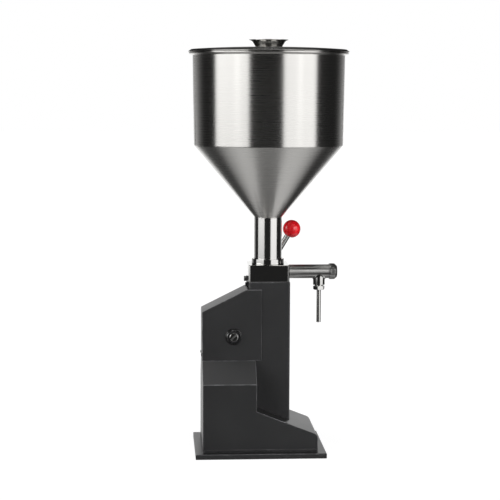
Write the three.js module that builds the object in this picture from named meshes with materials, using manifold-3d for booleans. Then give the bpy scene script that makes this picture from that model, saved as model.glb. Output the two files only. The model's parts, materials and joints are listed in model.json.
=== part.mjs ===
// Manual bottle filler: a covered hopper stands over a hand pump, and a lever on the far side works it.
// Millimetres, +Z up. The origin is where the pump's axis meets the underside of the base plate.
// +X points to the outlet, -Y to the near side and +Y to the side that carries the lever.

import * as THREE from 'three';
import { mergeVertices } from 'three/addons/utils/BufferGeometryUtils.js';
import Module from 'manifold-3d';

const wasm = await Module();
wasm.setup();

// Driving dimensions

const fit = 0.3; // between a piece and the hole or pocket that takes it
const seam = 0.1; // between flat faces that rest on each other
const overrun = 1; // how far a cutter runs past the wall that it opens

const plate = {
  front: 102.6, rear: 135.5, halfWidth: 90.4, thickness: 9.6, edge: 0.8,
  upstandHeight: 13, upstandThickness: 3, upstandHalfLength: 55,
};

const column = {
  front: 39, rear: 36, sideSpace: 9, wall: 3, top: 4, corner: 3,
  screwHeight: 115.6, screwRadius: 2.5, screwHead: 3.5, screwHeadHeight: 1.6, screwLength: 8,
  windowPlay: 1.2,
};

const casing = {
  rear: 122, front: 24, halfDepth: 74, wall: 2, shoulder: 134, top: 171.4, hemScrewAhead: 14,
  footFront: 87.7, footStart: 84, footEnd: 40.4, footCorner: 9,
  hemHeight: 4.4, hemProud: 1.5, hemInset: 3,
  tabHalfWidth: 27, tabDepth: 22, tabHeight: 17, tabThickness: 2,
  screwRadius: 1.5, screwHead: 2.1, screwHeadHeight: 0.9, screwLength: 7,
};

const hood = {
  rear: 122.4, front: 13, ridge: 40.7, wall: 1.7, drop: 13.1, slopeDrop: 54.1,
  screwRise: 8.3, screwSpread: 18, screwRadius: 1.7, screwHead: 2.7, screwHeadHeight: 1.5, screwLength: 7,
};

const pivot = { behind: 64.5, aboveCasing: 44.5, radius: 8, armAngle: 22, leverAngle: 59.2 };

const bearing = {
  bossRadius: 15.3, bossBase: 2.2, rimRadius: 12.9, bossHeight: 5.3, bossEdge: 0.7,
  bushWall: 2.7, bushFlange: 3, bushFlangeThickness: 1.5, bushRecess: 1.8,
};

const shaft = { nearProud: 2, edge: 0.9, slotWidth: 3, slotDepth: 1.6, slotAngle: 40 };

const fork = {
  hubRadius: 15, endPlay: 0.8, tipWall: 4.6, rollerPlay: 0.75, pinRadius: 2.5,
  armShare: 0.72, tipShare: 0.9, slotShare: 0.98,
};

const crosshead = {
  pinRadius: 4, rollerRadius: 6.5, pinProud: 1.2, eyeRadius: 10, eyeBelow: 11, eyeAbove: 11.5, eyeEdge: 1.5,
  socketDepth: 6,
};

const lever = {
  hubRadius: 17, hubLength: 20, hubEdge: 1.5, washerThickness: 1, washerRadius: 13.5,
  rodRadius: 5.3, rodRoot: 9.6, rodInBall: 10, length: 221, ballRadius: 16.75, ballFlat: 7.5,
  screwRadius: 3, screwLength: 8, keyShare: 0.6,
};

const pump = {
  bore: 18, wall: 4, spigot: 4.4, mouth: 1.2, pinClearance: 7, tail: 1.9,
  nutWidth: 6, nutHeight: 8, notchWidth: 5, notchDepth: 2.5,
};

const piston = {
  headroom: 1, length: 16, rodRadius: 6, rodSocket: 5, sealHeight: 3.4, sealDepth: 2.8, sealInset: 2.4,
  sealPlay: 0.1, screwRadius: 3, screwHead: 6.2, screwHeadHeight: 3.2, screwLength: 14,
};

const block = {
  rearOverhang: 1.5, sideOverhang: 2, height: 31.6, chamfer: 2.6, edge: 1.2, chamberRadius: 17,
  seatRadius: 19, seatHeight: 6, outletRise: 16, ringHeight: 2,
};

const clampLug = {
  halfWidth: 7, thickness: 1.5, below: 12, above: 8, pad: 8.5, blockSkin: 1,
  screwRadius: 2, blockHead: 4.7, blockHeadHeight: 4.7, columnHead: 4.1, columnHeadHeight: 2.1, screwLength: 9,
};

const neck = {
  radius: 25.5, wall: 1.5, exposed: 74.8, socketRadius: 30, socketHeight: 9.4, socketFloor: 2.5,
  gasket: 1.6, socketEdge: 0.8, floorStep: 1,
};

const hopper = {
  coneHeight: 133.4, drumRadius: 136.7, taper: 1.7, drumHeight: 163.4, shoulderCurve: 4, wall: 1.2,
  rimFlare: 6.9, rimHeight: 5, collar: 1.5,
};

const lid = {
  overhang: 1.4, edgeHeight: 4.5, thickness: 1.4, rise: 10.6, domeFlat: 24, lipDrop: 6, lipWall: 1.3,
  lipPlay: 0.8, shelf: 8.5,
};

const knob = {
  footRadius: 26, waistHeight: 8.5, waistRadius: 29.5, lipRadius: 35, lipThickness: 1, height: 11.6,
  dishDepth: 3.4, dishShare: 0.9, screwRadius: 3, screwHead: 6, screwHeadHeight: 3.5,
};

const inlet = {
  opening: 12, seatEdge: 1, poppetRadius: 14.2, poppetHeight: 3.8, poppetEdge: 1, sealHeight: 1.5,
  stemRadius: 3, spiderPlay: 1.5, spiderHeight: 3, spiderRing: 2.4, spiderArm: 4, hubRadius: 7, hubHeight: 10.4,
  springHeight: 18, springRadius: 5.2, wireRadius: 0.6, coils: 5,
  nutRadius: 8, nutHeight: 6, nutCap: 2, nutEdge: 1,
};

const outlet = {
  radius: 12.7, wall: 2.2, spigot: 11.5, length: 81.5, seatOffset: 2.5, seatLength: 4, seatOpening: 6,
  branchBehind: 24, branchRadius: 11.15, branchDrop: 24.8, branchBore: 6.5, saddleRadius: 14.4, saddleDrop: 15.2,
  threadRadius: 7.4, threadLength: 5, poppetRadius: 8.8, poppetLength: 3, sealRadius: 8.4, sealLength: 1.3,
  stemRadius: 2.5, wireRadius: 0.5, springRadius: 4.6, coils: 8,
  seatEdge: 1, branchEdge: 1, travel: 4, stemGap: 1,
};

const cap = {
  width: 27.2, collarRadius: 14.7, collar: 3, length: 14.4, thread: 5.2, bossRadius: 5, bossLength: 7.4,
  guideDepth: 12.5, gasket: 1.2, collarEdge: 0.5,
  dome: 4.8,
};

const nozzle = {
  radius: 4.1, bore: 2.9, tip: 236.8, flangeRadius: 6.8, flange: 1, gasket: 1,
  nutWidth: 19, nutTurn: 13, nutHeight: 7.4, nutFloor: 1.8, nutEdge: 1, tipEdge: 0.4,
};

// Shares of the sizes that they multiply
const socketShares = { radius: 0.9, depth: 0.6, edge: 0.12 };
const panShares = { slotWidth: 0.28, slotBottom: 0.45, crown: 0.62, rim: 0.4 };
const cheekShares = { inside: 0.22, outside: 0.78 };
const saddleShares = { top: 0.86, topDrop: 0.72, flare: 1.06, flareDrop: 1.02 };
const crownShares = { shoulder: 0.93, shoulderDrop: 0.5, top: 0.7 };
const rimShares = [[0, 0], [1, 0.35], [1, 0.7], [0.85, 1]];
const domeShares = [0.67, 0.33];
const lidEdgeShares = { flank: 0.7, corner: 0.12, top: 0.25, foot: 0.6 };

// Counts of flats on round pieces and of steps in a rounded corner
const sides = { drum: 48, tube: 24, pump: 18, shaft: 12, small: 8, ball: 18, wire: 4, coil: 7 };
const cornerSteps = 3;
const cornersOfBox = 4;

// Finishes

const finish = (color, roughness, metalness) => new THREE.MeshStandardMaterial({ color, roughness, metalness });
const blackPaint = finish(0x2f2f31, 0.55, 0.2);
const brushedSteel = finish(0xc9c7c2, 0.32, 1);
const polishedSteel = finish(0xd8d8d8, 0.1, 1);
const machinedSteel = finish(0xa9abae, 0.35, 1);
const darkSteel = finish(0x55565a, 0.45, 0.9);
const bronze = finish(0xa87b45, 0.4, 1);
const redBall = finish(0xc8101a, 0.18, 0);
const silicone = finish(0xd9d4c8, 0.7, 0);
const rubber = finish(0x26262a, 0.8, 0);

// Shape helpers

const degrees = THREE.MathUtils.degToRad;
const weldTolerance = 1e-4;
const parallelTolerance = 1e-9;

function outline(...pairs) {
  return pairs.map(([x, y]) => new THREE.Vector2(x, y));
}

// Moves each edge of an outline to its left by a distance and joins the moved edges at their corners.
function offset(points, distance, closed) {
  const count = points.length;
  const edges = [];
  for (let i = 0; i < (closed ? count : count - 1); i += 1) {
    const start = points[i];
    const direction = points[(i + 1) % count].clone().sub(start).normalize();
    const shift = new THREE.Vector2(-direction.y, direction.x).multiplyScalar(distance);
    edges.push({ start: start.clone().add(shift), shift, direction });
  }
  return points.map((point, i) => {
    const before = closed ? edges[(i + count - 1) % count] : edges[i - 1];
    const after = edges[i];
    if (!before) return point.clone().add(after.shift);
    if (!after) return point.clone().add(before.shift);
    const cross = before.direction.cross(after.direction);
    if (Math.abs(cross) < parallelTolerance) return point.clone().add(after.shift);
    const along = after.start.clone().sub(before.start).cross(after.direction) / cross;
    return before.start.clone().addScaledVector(before.direction, along);
  });
}

// Rounds the corners that have a radius, as arcs.
function rounded(points, radii) {
  const count = points.length;
  return points.flatMap((corner, i) => {
    const radius = radii[i];
    if (!radius) return [corner.clone()];
    const back = points[(i + count - 1) % count].clone().sub(corner).normalize();
    const ahead = points[(i + 1) % count].clone().sub(corner).normalize();
    const half = Math.acos(THREE.MathUtils.clamp(back.dot(ahead), -1, 1)) / 2;
    const middle = back.clone().add(ahead).normalize();
    const centre = corner.clone().addScaledVector(middle, radius / Math.sin(half));
    const first = corner.clone().addScaledVector(back, radius / Math.tan(half)).sub(centre);
    const turn = (Math.PI - 2 * half) * Math.sign(ahead.cross(back));
    const arc = [];
    for (let step = 0; step <= cornerSteps; step += 1) {
      const angle = (turn * step) / cornerSteps;
      arc.push(first.clone().rotateAround(new THREE.Vector2(), angle).add(centre));
    }
    return arc;
  });
}

// A closed solid turned about Z from a profile of radius and height.
function turned(profile, count) {
  const points = THREE.ShapeUtils.area(profile) > 0 ? profile : [...profile].reverse();
  const onAxis = points.some((point) => point.x === 0);
  const start = onAxis ? points.findIndex((p, i) => p.x === 0 && points.at(i - 1).x === 0) : 0;
  const ordered = [...points.slice(start), ...points.slice(0, start)];
  const closed = onAxis ? ordered : [...ordered, ordered[0].clone()];
  return new THREE.LatheGeometry(closed, count).rotateX(Math.PI / 2);
}

// A plain ring or disc about Z, with one size of chamfer on its outer edges.
function ring(outer, inner, bottom, top, count, edge = 0) {
  const inside = inner > 0 ? [[inner, top], [inner, bottom]] : [[0, top], [0, bottom]];
  const outside = edge > 0
    ? [[outer - edge, bottom], [outer, bottom + edge], [outer, top - edge], [outer - edge, top]]
    : [[outer, bottom], [outer, top]];
  return turned(outline(...outside, ...inside), count);
}

function box(x0, x1, y0, y1, z0, z1) {
  return new THREE.BoxGeometry(x1 - x0, y1 - y0, z1 - z0)
    .translate((x0 + x1) / 2, (y0 + y1) / 2, (z0 + z1) / 2);
}

// An outline raised along Z, with an optional chamfer round both faces.
function raised(points, bottom, top, edge = 0) {
  return new THREE.ExtrudeGeometry(new THREE.Shape(points), {
    depth: top - bottom - 2 * edge,
    bevelEnabled: edge > 0,
    bevelSegments: 1,
    bevelThickness: edge,
    bevelSize: edge,
    bevelOffset: -edge,
  }).translate(0, 0, bottom + edge);
}

// An outline in X and Z, carried along Y between two places.
function alongY(points, y0, y1) {
  return raised(points, 0, y1 - y0).rotateX(Math.PI / 2).translate(0, y1, 0);
}

// An outline in Y and Z, carried along X between two places.
function alongX(points, x0, x1) {
  const turn = new THREE.Matrix4().makeBasis(
    new THREE.Vector3(0, 1, 0), new THREE.Vector3(0, 0, 1), new THREE.Vector3(1, 0, 0),
  );
  return raised(points, 0, x1 - x0).applyMatrix4(turn).translate(x0, 0, 0);
}

function polygon(count, radius) {
  return Array.from({ length: count }, (_, i) => new THREE.Vector2(radius, 0)
    .rotateAround(new THREE.Vector2(), (i * 2 * Math.PI) / count));
}

const hexRadius = (width) => width / Math.sqrt(3);

// Booleans

function solid(geometry) {
  const bare = geometry.clone();
  bare.deleteAttribute('normal');
  bare.deleteAttribute('uv');
  const merged = mergeVertices(bare, weldTolerance);
  const index = merged.index.array;
  const kept = [];
  for (let i = 0; i < index.length; i += 3) {
    const [a, b, c] = index.slice(i, i + 3);
    if (a !== b && b !== c && c !== a) kept.push(a, b, c);
  }
  return new wasm.Manifold(new wasm.Mesh({
    numProp: 3,
    vertProperties: new Float32Array(merged.attributes.position.array),
    triVerts: new Uint32Array(kept),
  }));
}

function surface(result) {
  const { numProp, vertProperties, triVerts } = result.getMesh();
  const positions = new Float32Array((vertProperties.length / numProp) * 3);
  for (let i = 0; i < positions.length / 3; i += 1) {
    positions.set(vertProperties.slice(i * numProp, i * numProp + 3), i * 3);
  }
  const geometry = new THREE.BufferGeometry();
  geometry.setAttribute('position', new THREE.BufferAttribute(positions, 3));
  geometry.setIndex(new THREE.BufferAttribute(new Uint32Array(triVerts), 1));
  geometry.computeVertexNormals();
  return geometry;
}

const joined = (first, ...others) => surface(others.reduce((sum, next) => sum.add(solid(next)), solid(first)));
const cut = (body, ...tools) => surface(tools.reduce((rest, tool) => rest.subtract(solid(tool)), solid(body)));
const common = (first, second) => surface(solid(first).intersect(solid(second)));

function piece(name, material, geometry, x = 0, y = 0, z = 0) {
  const mesh = new THREE.Mesh(geometry, material);
  mesh.name = name;
  mesh.position.set(x, y, z);
  return mesh;
}

function assembly(x, y, z, ...children) {
  const group = new THREE.Group();
  group.position.set(x, y, z);
  group.add(...children);
  return group;
}

// Levels that several sub-assemblies share

const cylinderRadius = pump.bore + pump.wall;
const columnBottom = plate.thickness + seam;
const columnInside = cylinderRadius + column.sideSpace;
const columnHalfDepth = columnInside + column.wall;
const hoodInside = columnHalfDepth + fit;
const hoodHalfDepth = hoodInside + hood.wall;
const hoodBottom = casing.top + seam;
const pivotLevel = hoodBottom + pivot.aboveCasing;

// The crosshead pin is as far above the pivot at rest as it is below it at the end of the stroke.
const pinRise = pivot.behind * Math.tan(degrees(pivot.armAngle));
const stroke = 2 * pinRise;
const pinLevel = pivotLevel + pinRise;
const cylinderBottom = pinLevel + pump.pinClearance;
const cylinderTop = cylinderBottom + pump.tail + stroke + piston.length + piston.headroom;
const blockBottom = cylinderTop - pump.spigot;
const columnTop = blockBottom - seam;
const hoodTop = columnTop - hood.drop;
const blockTop = blockBottom + block.height;
const blockHalfLength = column.rear + block.rearOverhang;
const blockHalfDepth = columnHalfDepth + block.sideOverhang;
const outletLevel = blockBottom + block.outletRise;
const armLength = pivot.behind / Math.cos(degrees(pivot.armAngle));
const slotHalf = crosshead.rollerRadius + fork.rollerPlay;
const tipRadius = slotHalf + fork.tipWall;
const bushSeat = pivot.radius + fit + bearing.bushWall + fit;

// The fork's cheeks run in the space between the cylinder and the column's side walls.
const cheekInside = cylinderRadius + column.sideSpace * cheekShares.inside;
const cheekOutside = cylinderRadius + column.sideSpace * cheekShares.outside;

// Screws

// A socket screw about Z: its head stands on Z = 0 and its shank points down.
function socketScrew(radius, headRadius, headHeight, length) {
  const socketRadius = radius * socketShares.radius;
  const socketDepth = headHeight * socketShares.depth;
  const head = headHeight * socketShares.edge;
  const blank = turned(outline(
    [0, -length], [radius, -length], [radius, 0], [headRadius, 0],
    [headRadius, headHeight - head], [headRadius - head, headHeight], [0, headHeight],
  ), sides.small);
  return cut(blank, raised(polygon(6, socketRadius), headHeight - socketDepth, headHeight + overrun));
}

// A low domed screw with a slot, for sheet metal.
function panScrew(radius, headRadius, headHeight, length) {
  const slotHalfWidth = headRadius * panShares.slotWidth / 2;
  const blank = turned(outline(
    [0, -length], [radius, -length], [radius, 0], [headRadius, 0],
    [headRadius, headHeight * panShares.rim], [headRadius * panShares.crown, headHeight], [0, headHeight],
  ), sides.small);
  const slot = box(
    -slotHalfWidth, slotHalfWidth, -headRadius - overrun, headRadius + overrun,
    headHeight * panShares.slotBottom, headHeight + overrun,
  );
  return cut(blank, slot);
}

// Turns a piece made about Z so that its top points along the given side.
const facing = {
  rear: (geometry) => geometry.rotateY(-Math.PI / 2),
  front: (geometry) => geometry.rotateY(Math.PI / 2),
  near: (geometry) => geometry.rotateX(Math.PI / 2),
  far: (geometry) => geometry.rotateX(-Math.PI / 2),
};

// A straight hole about Z, wide enough for a screw of this radius.
const screwHole = (radius, from, to) => ring(radius + fit, 0, from, to, sides.small);

// Stand: plate, casing, hood and column

const hemScrewRise = casing.hemHeight / 2;
const hemReach = casing.halfDepth + casing.hemProud + overrun;
const hemScrewX = (plate.front - plate.rear) / 2 + casing.hemScrewAhead;

function basePlate() {
  const deck = raised(
    outline(
      [-plate.rear, -plate.halfWidth], [plate.front, -plate.halfWidth],
      [plate.front, plate.halfWidth], [-plate.rear, plate.halfWidth],
    ),
    0, plate.thickness, plate.edge,
  );
  const inside = casing.halfDepth - casing.wall - fit;
  const upstand = (side) => box(
    hemScrewX - plate.upstandHalfLength, hemScrewX + plate.upstandHalfLength,
    ...[side * (inside - plate.upstandThickness), side * inside].sort((a, b) => a - b),
    plate.thickness - overrun, plate.thickness + plate.upstandHeight,
  );
  const hole = facing.far(screwHole(casing.screwRadius, -hemReach, hemReach))
    .translate(hemScrewX, 0, columnBottom + hemScrewRise);
  return cut(joined(deck, upstand(-1), upstand(1)), hole);
}

// The slope of the casing's shoulder, from its side wall in to the hood's side.
function shoulderOutline(top) {
  return outline(
    [-casing.halfDepth, columnBottom], [casing.halfDepth, columnBottom],
    [casing.halfDepth, casing.shoulder], [hoodHalfDepth, top],
    [-hoodHalfDepth, top], [-casing.halfDepth, casing.shoulder],
  );
}

function footOutline() {
  return outline(
    [-casing.rear, columnBottom], [casing.footFront, columnBottom],
    [casing.footFront, casing.footEnd], [-casing.front, casing.footStart], [-casing.rear, casing.footStart],
  );
}

function lowerCasing() {
  const foot = footOutline();
  const footInside = offset(foot, casing.wall, true);
  const tower = shoulderOutline(casing.top);
  const towerInside = offset(tower, casing.wall, true);
  const corner = [0, 0, casing.footCorner, 0, 0];
  const cornerInside = [0, 0, casing.footCorner - casing.wall, 0, 0];
  const dropBottom = (points) => points.map((point, i) => (
    i < 2 ? new THREE.Vector2(point.x, columnBottom - overrun) : point
  ));
  const inner = casing.halfDepth - casing.wall;
  const shell = cut(
    joined(
      alongY(rounded(foot, corner), -casing.halfDepth, casing.halfDepth),
      alongX(tower, -casing.rear, -casing.front),
    ),
    alongY(rounded(dropBottom(footInside), cornerInside), -inner, inner),
    alongX(dropBottom(towerInside), -casing.rear + casing.wall, -casing.front - casing.wall),
    box(
      -casing.rear + casing.wall, -casing.front - casing.wall,
      -hoodInside, hoodInside, casing.shoulder, casing.top + overrun,
    ),
  );
  const hem = (side) => box(
    -casing.rear + casing.hemInset, casing.footFront - casing.hemInset,
    ...[side * (casing.halfDepth - casing.wall), side * (casing.halfDepth + casing.hemProud)]
      .sort((a, b) => a - b),
    columnBottom, columnBottom + casing.hemHeight,
  );
  const tabFace = -hood.rear + hood.wall + fit;
  const tab = box(
    tabFace, tabFace + casing.tabThickness, -casing.tabHalfWidth, casing.tabHalfWidth,
    casing.top - casing.tabDepth, casing.top + casing.tabHeight,
  );
  const columnHole = box(
    -column.rear - fit, column.front + fit, -columnHalfDepth - fit, columnHalfDepth + fit,
    columnBottom, casing.top + overrun,
  );
  const hemHole = facing.far(screwHole(casing.screwRadius, -hemReach, hemReach))
    .translate(hemScrewX, 0, columnBottom + hemScrewRise);
  return cut(joined(shell, hem(-1), hem(1), tab), columnHole, hemHole, ...hoodScrewHoles());
}

const hoodScrewLevel = hoodBottom + hood.screwRise;
const hoodScrewPlaces = [-hood.screwSpread, hood.screwSpread];

function hoodScrewHoles() {
  const hole = screwHole(hood.screwRadius, -overrun, hood.screwLength + overrun);
  return hoodScrewPlaces.map((y) => facing.front(hole.clone()).translate(-hood.rear, y, hoodScrewLevel));
}

function rearHood() {
  const side = outline(
    [-hood.rear, hoodBottom], [-hood.front, hoodBottom], [-hood.front, hoodTop],
    [-hood.ridge, hoodTop], [-hood.rear, columnTop - hood.slopeDrop],
  );
  const [rearLow, frontLow, frontTop, ridge, rearTop] = offset(side, hood.wall, true);
  const inside = [
    new THREE.Vector2(rearLow.x, hoodBottom - overrun), new THREE.Vector2(frontLow.x, hoodBottom - overrun),
    frontTop, ridge, rearTop,
  ];
  const columnSpace = box(
    -column.rear - fit, -hood.front + overrun, -hoodInside, hoodInside,
    hoodBottom - overrun, hoodTop + overrun,
  );
  const bushHole = facing.far(ring(
    bushSeat, 0, -hoodHalfDepth - overrun, hoodHalfDepth + overrun, sides.shaft,
  )).translate(-pivot.behind, 0, pivotLevel);
  return cut(
    alongY(side, -hoodHalfDepth, hoodHalfDepth),
    alongY(inside, -hoodInside, hoodInside), columnSpace, bushHole, ...hoodScrewHoles(),
  );
}

// The rectangle of a tube's plan, with all four corners rounded.
function roundedPlan(rear, front, halfDepth, radius) {
  const plan = outline([-rear, -halfDepth], [front, -halfDepth], [front, halfDepth], [-rear, halfDepth]);
  return rounded(plan, Array(cornersOfBox).fill(radius));
}

function columnTube() {
  const tube = raised(
    roundedPlan(column.rear, column.front, columnHalfDepth, column.corner), columnBottom, columnTop,
  );
  const inside = raised(
    roundedPlan(
      column.rear - column.wall, column.front - column.wall, columnInside, column.corner - column.wall / 2,
    ),
    columnBottom - overrun, columnTop - column.top,
  );
  const cylinderHole = ring(
    cylinderRadius + fit, 0, columnTop - column.top - overrun, columnTop + overrun, sides.pump,
  );
  const reach = (column.rear - column.wall) * Math.tan(degrees(pivot.armAngle));
  const windowHalf = reach + tipRadius + column.windowPlay;
  const window = box(
    -column.rear - overrun, -column.rear + column.wall + overrun, -columnInside, columnInside,
    pivotLevel - windowHalf, pivotLevel + windowHalf,
  );
  const frontScrewHole = facing.front(screwHole(column.screwRadius, -column.screwLength, overrun))
    .translate(column.front, 0, column.screwHeight);
  const lugHole = facing.rear(screwHole(clampLug.screwRadius, -clampLug.screwLength, overrun))
    .translate(-column.rear, 0, lugScrewLevel);
  return cut(tube, inside, cylinderHole, window, frontScrewHole, lugHole);
}

// The clamp lug: a small strap behind the column that holds the pump's block down on it.
const lugBottom = columnTop - clampLug.below;
const lugTop = blockBottom + clampLug.above;
const lugScrewLevel = lugBottom + clampLug.columnHead + fit / 2;
const lugFace = -blockHalfLength - fit - clampLug.thickness;
const blockScrewLevel = blockBottom + clampLug.screwRadius + fit + clampLug.blockSkin;

function lug() {
  const strap = box(
    lugFace, -blockHalfLength - fit, -clampLug.halfWidth, clampLug.halfWidth, lugBottom, lugTop,
  );
  const pad = box(
    lugFace, -column.rear - fit, -clampLug.halfWidth, clampLug.halfWidth,
    lugBottom, lugBottom + clampLug.pad,
  );
  const hole = (level) => facing.rear(screwHole(clampLug.screwRadius, -clampLug.screwLength, overrun))
    .translate(lugFace, 0, level);
  return cut(joined(strap, pad), hole(lugScrewLevel), hole(blockScrewLevel));
}

function lugScrew(head, headHeight) {
  return facing.rear(socketScrew(clampLug.screwRadius, head, headHeight, clampLug.screwLength));
}

function boss() {
  const { bossRadius, bossBase, rimRadius, bossHeight, bossEdge } = bearing;
  return turned(outline(
    [bushSeat, 0], [bossRadius, 0], [bossRadius, bossBase - bossEdge], [bossRadius - bossEdge, bossBase],
    [rimRadius, bossBase], [rimRadius, bossHeight - bossEdge], [rimRadius - bossEdge, bossHeight],
    [bushSeat, bossHeight],
  ), sides.pump);
}

// A bush about Z whose sleeve points up and whose flange lies inside the hood.
function bush() {
  const inner = pivot.radius + fit;
  const outer = bushSeat - fit;
  const flangeTop = -hood.wall - fit;
  return turned(outline(
    [inner, flangeTop - bearing.bushFlangeThickness],
    [outer + bearing.bushFlange, flangeTop - bearing.bushFlangeThickness],
    [outer + bearing.bushFlange, flangeTop], [outer, flangeTop],
    [outer, bearing.bossHeight - bearing.bushRecess], [inner, bearing.bossHeight - bearing.bushRecess],
  ), sides.shaft);
}

const hemScrew = () => panScrew(
  casing.screwRadius, casing.screwHead, casing.screwHeadHeight, casing.screwLength,
);
const hoodScrew = () => facing.rear(panScrew(
  hood.screwRadius, hood.screwHead, hood.screwHeadHeight, hood.screwLength,
));
const hemFace = casing.halfDepth + casing.hemProud + seam;
const hemScrewLevel = columnBottom + hemScrewRise;

const stand = assembly(
  0, 0, 0,
  piece('base_plate', blackPaint, basePlate()),
  piece('lower_casing', blackPaint, lowerCasing()),
  piece('rear_hood', blackPaint, rearHood()),
  piece('column', blackPaint, columnTube()),
  piece('hem_screw_near', darkSteel, facing.near(hemScrew()), hemScrewX, -hemFace, hemScrewLevel),
  piece('hem_screw_far', darkSteel, facing.far(hemScrew()), hemScrewX, hemFace, hemScrewLevel),
  ...hoodScrewPlaces.map((y, i) => piece(
    `hood_screw_${i + 1}`, darkSteel, hoodScrew(), -hood.rear - seam, y, hoodScrewLevel,
  )),
  piece(
    'column_screw', darkSteel,
    facing.front(panScrew(column.screwRadius, column.screwHead, column.screwHeadHeight, column.screwLength)),
    column.front + seam, 0, column.screwHeight,
  ),
  piece('clamp_lug', darkSteel, lug()),
  piece(
    'lug_screw', darkSteel, lugScrew(clampLug.columnHead, clampLug.columnHeadHeight),
    lugFace - seam, 0, lugScrewLevel,
  ),
  piece(
    'block_clamp_screw', polishedSteel, lugScrew(clampLug.blockHead, clampLug.blockHeadHeight),
    lugFace - seam, 0, blockScrewLevel,
  ),
  assembly(
    -pivot.behind, 0, pivotLevel,
    piece('near_boss', blackPaint, facing.near(boss()), 0, -hoodHalfDepth - seam, 0),
    piece('far_boss', blackPaint, facing.far(boss()), 0, hoodHalfDepth + seam, 0),
    piece('near_bush', darkSteel, facing.near(bush()), 0, -hoodHalfDepth - seam, 0),
    piece('far_bush', darkSteel, facing.far(bush()), 0, hoodHalfDepth + seam, 0),
  ),
);

// Lever: shaft, crank fork, hub, rod and ball, all about the pivot

const hubHalf = hoodInside - fit - bearing.bushFlangeThickness - fork.endPlay;
const bossFace = hoodHalfDepth + seam + bearing.bossHeight;
const washerStart = bossFace + fit;
const leverHubStart = washerStart + lever.washerThickness + seam;
const leverHubEnd = leverHubStart + lever.hubLength;
const rodPlane = (leverHubStart + leverHubEnd) / 2;

function leverShaft() {
  const near = -bossFace - shaft.nearProud;
  const far = leverHubEnd + seam;
  const bar = facing.far(ring(pivot.radius, 0, near, far, sides.shaft, shaft.edge));
  const slotHalfWidth = shaft.slotWidth / 2;
  const slot = box(
    -pivot.radius, pivot.radius, near - overrun, near + shaft.slotDepth, -slotHalfWidth, slotHalfWidth,
  ).rotateY(-degrees(shaft.slotAngle - pivot.armAngle));
  const pinHole = ring(fork.pinRadius + fit, 0, -pivot.radius - overrun, pivot.radius + overrun, sides.small);
  return cut(bar, slot, pinHole);
}

// The crank fork lies along +X here; its cheeks have slots for the rollers on the crosshead pin.
function crankFork() {
  const slotStart = pivot.behind - slotHalf;
  const slotEnd = armLength + slotHalf + fit;
  const armHalf = fork.hubRadius * fork.armShare;
  const cheekOutline = rounded(
    outline(
      [0, -fork.hubRadius], [slotStart - fork.tipWall, -armHalf], [slotEnd + fork.tipWall, -tipRadius],
      [slotEnd + fork.tipWall, tipRadius], [slotStart - fork.tipWall, armHalf], [0, fork.hubRadius],
    ),
    [0, tipRadius, tipRadius * fork.tipShare, tipRadius * fork.tipShare, tipRadius, 0],
  );
  const slotOutline = rounded(
    outline([slotStart, -slotHalf], [slotEnd, -slotHalf], [slotEnd, slotHalf], [slotStart, slotHalf]),
    Array(cornersOfBox).fill(slotHalf * fork.slotShare),
  );
  const hub = facing.far(ring(fork.hubRadius, 0, -hubHalf, hubHalf, sides.shaft));
  const cheeks = [-1, 1].map((side) => {
    const [y0, y1] = [side * cheekInside, side * cheekOutside].sort((a, b) => a - b);
    return cut(alongY(cheekOutline, y0, y1), alongY(slotOutline, y0 - overrun, y1 + overrun));
  });
  const bore = facing.far(ring(pivot.radius + fit, 0, -hubHalf - overrun, hubHalf + overrun, sides.shaft));
  const pinHole = ring(
    fork.pinRadius + fit, 0, -fork.hubRadius - overrun, fork.hubRadius + overrun, sides.small,
  );
  return cut(joined(hub, ...cheeks), bore, pinHole);
}

const forkPin = () => ring(fork.pinRadius, 0, -fork.hubRadius + seam, fork.hubRadius - seam, sides.small);

// The lever's hub, rod and ball lie along +X here, and are turned to the lever's angle.
function leverHub() {
  const hub = facing.far(ring(lever.hubRadius, 0, leverHubStart, leverHubEnd, sides.shaft, lever.hubEdge));
  const bore = facing.far(ring(
    pivot.radius + fit, 0, leverHubStart - overrun, leverHubEnd + overrun, sides.shaft,
  ));
  const rodHole = facing.front(ring(lever.rodRadius + fit, 0, 0, lever.hubRadius + overrun, sides.shaft));
  const screwHoleOut = facing.rear(screwHole(lever.screwRadius, 0, lever.hubRadius + overrun));
  return cut(hub, bore, rodHole.translate(0, rodPlane, 0), screwHoleOut.translate(0, rodPlane, 0));
}

const leverRod = () => facing.front(ring(
  lever.rodRadius, 0, lever.rodRoot, lever.length - lever.ballRadius + lever.rodInBall, sides.shaft, seam,
));

function ballKnob() {
  const ball = new THREE.SphereGeometry(lever.ballRadius, sides.ball, sides.ball / 2).rotateX(Math.PI / 2);
  const socketTop = -lever.ballRadius + lever.rodInBall + fit;
  const flat = -Math.sqrt(lever.ballRadius ** 2 - lever.ballFlat ** 2);
  return facing.front(cut(
    ball,
    ring(lever.rodRadius + fit, 0, -lever.ballRadius - overrun, socketTop, sides.shaft),
    ring(lever.ballRadius, 0, -lever.ballRadius - overrun, flat, sides.shaft),
  ));
}

function grubScrew() {
  const start = pivot.radius + fit;
  const blank = ring(lever.screwRadius, 0, start, start + lever.screwLength, sides.small);
  const key = raised(
    polygon(6, lever.screwRadius * lever.keyShare),
    start + lever.screwLength / 2, start + lever.screwLength + overrun,
  );
  return facing.rear(cut(blank, key));
}

const armGroup = assembly(
  -pivot.behind, 0, pivotLevel,
  piece('lever_shaft', machinedSteel, leverShaft()),
  piece('crank_fork', machinedSteel, crankFork()),
  piece('fork_pin', darkSteel, forkPin()),
);
armGroup.rotation.y = -degrees(pivot.armAngle);

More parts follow.
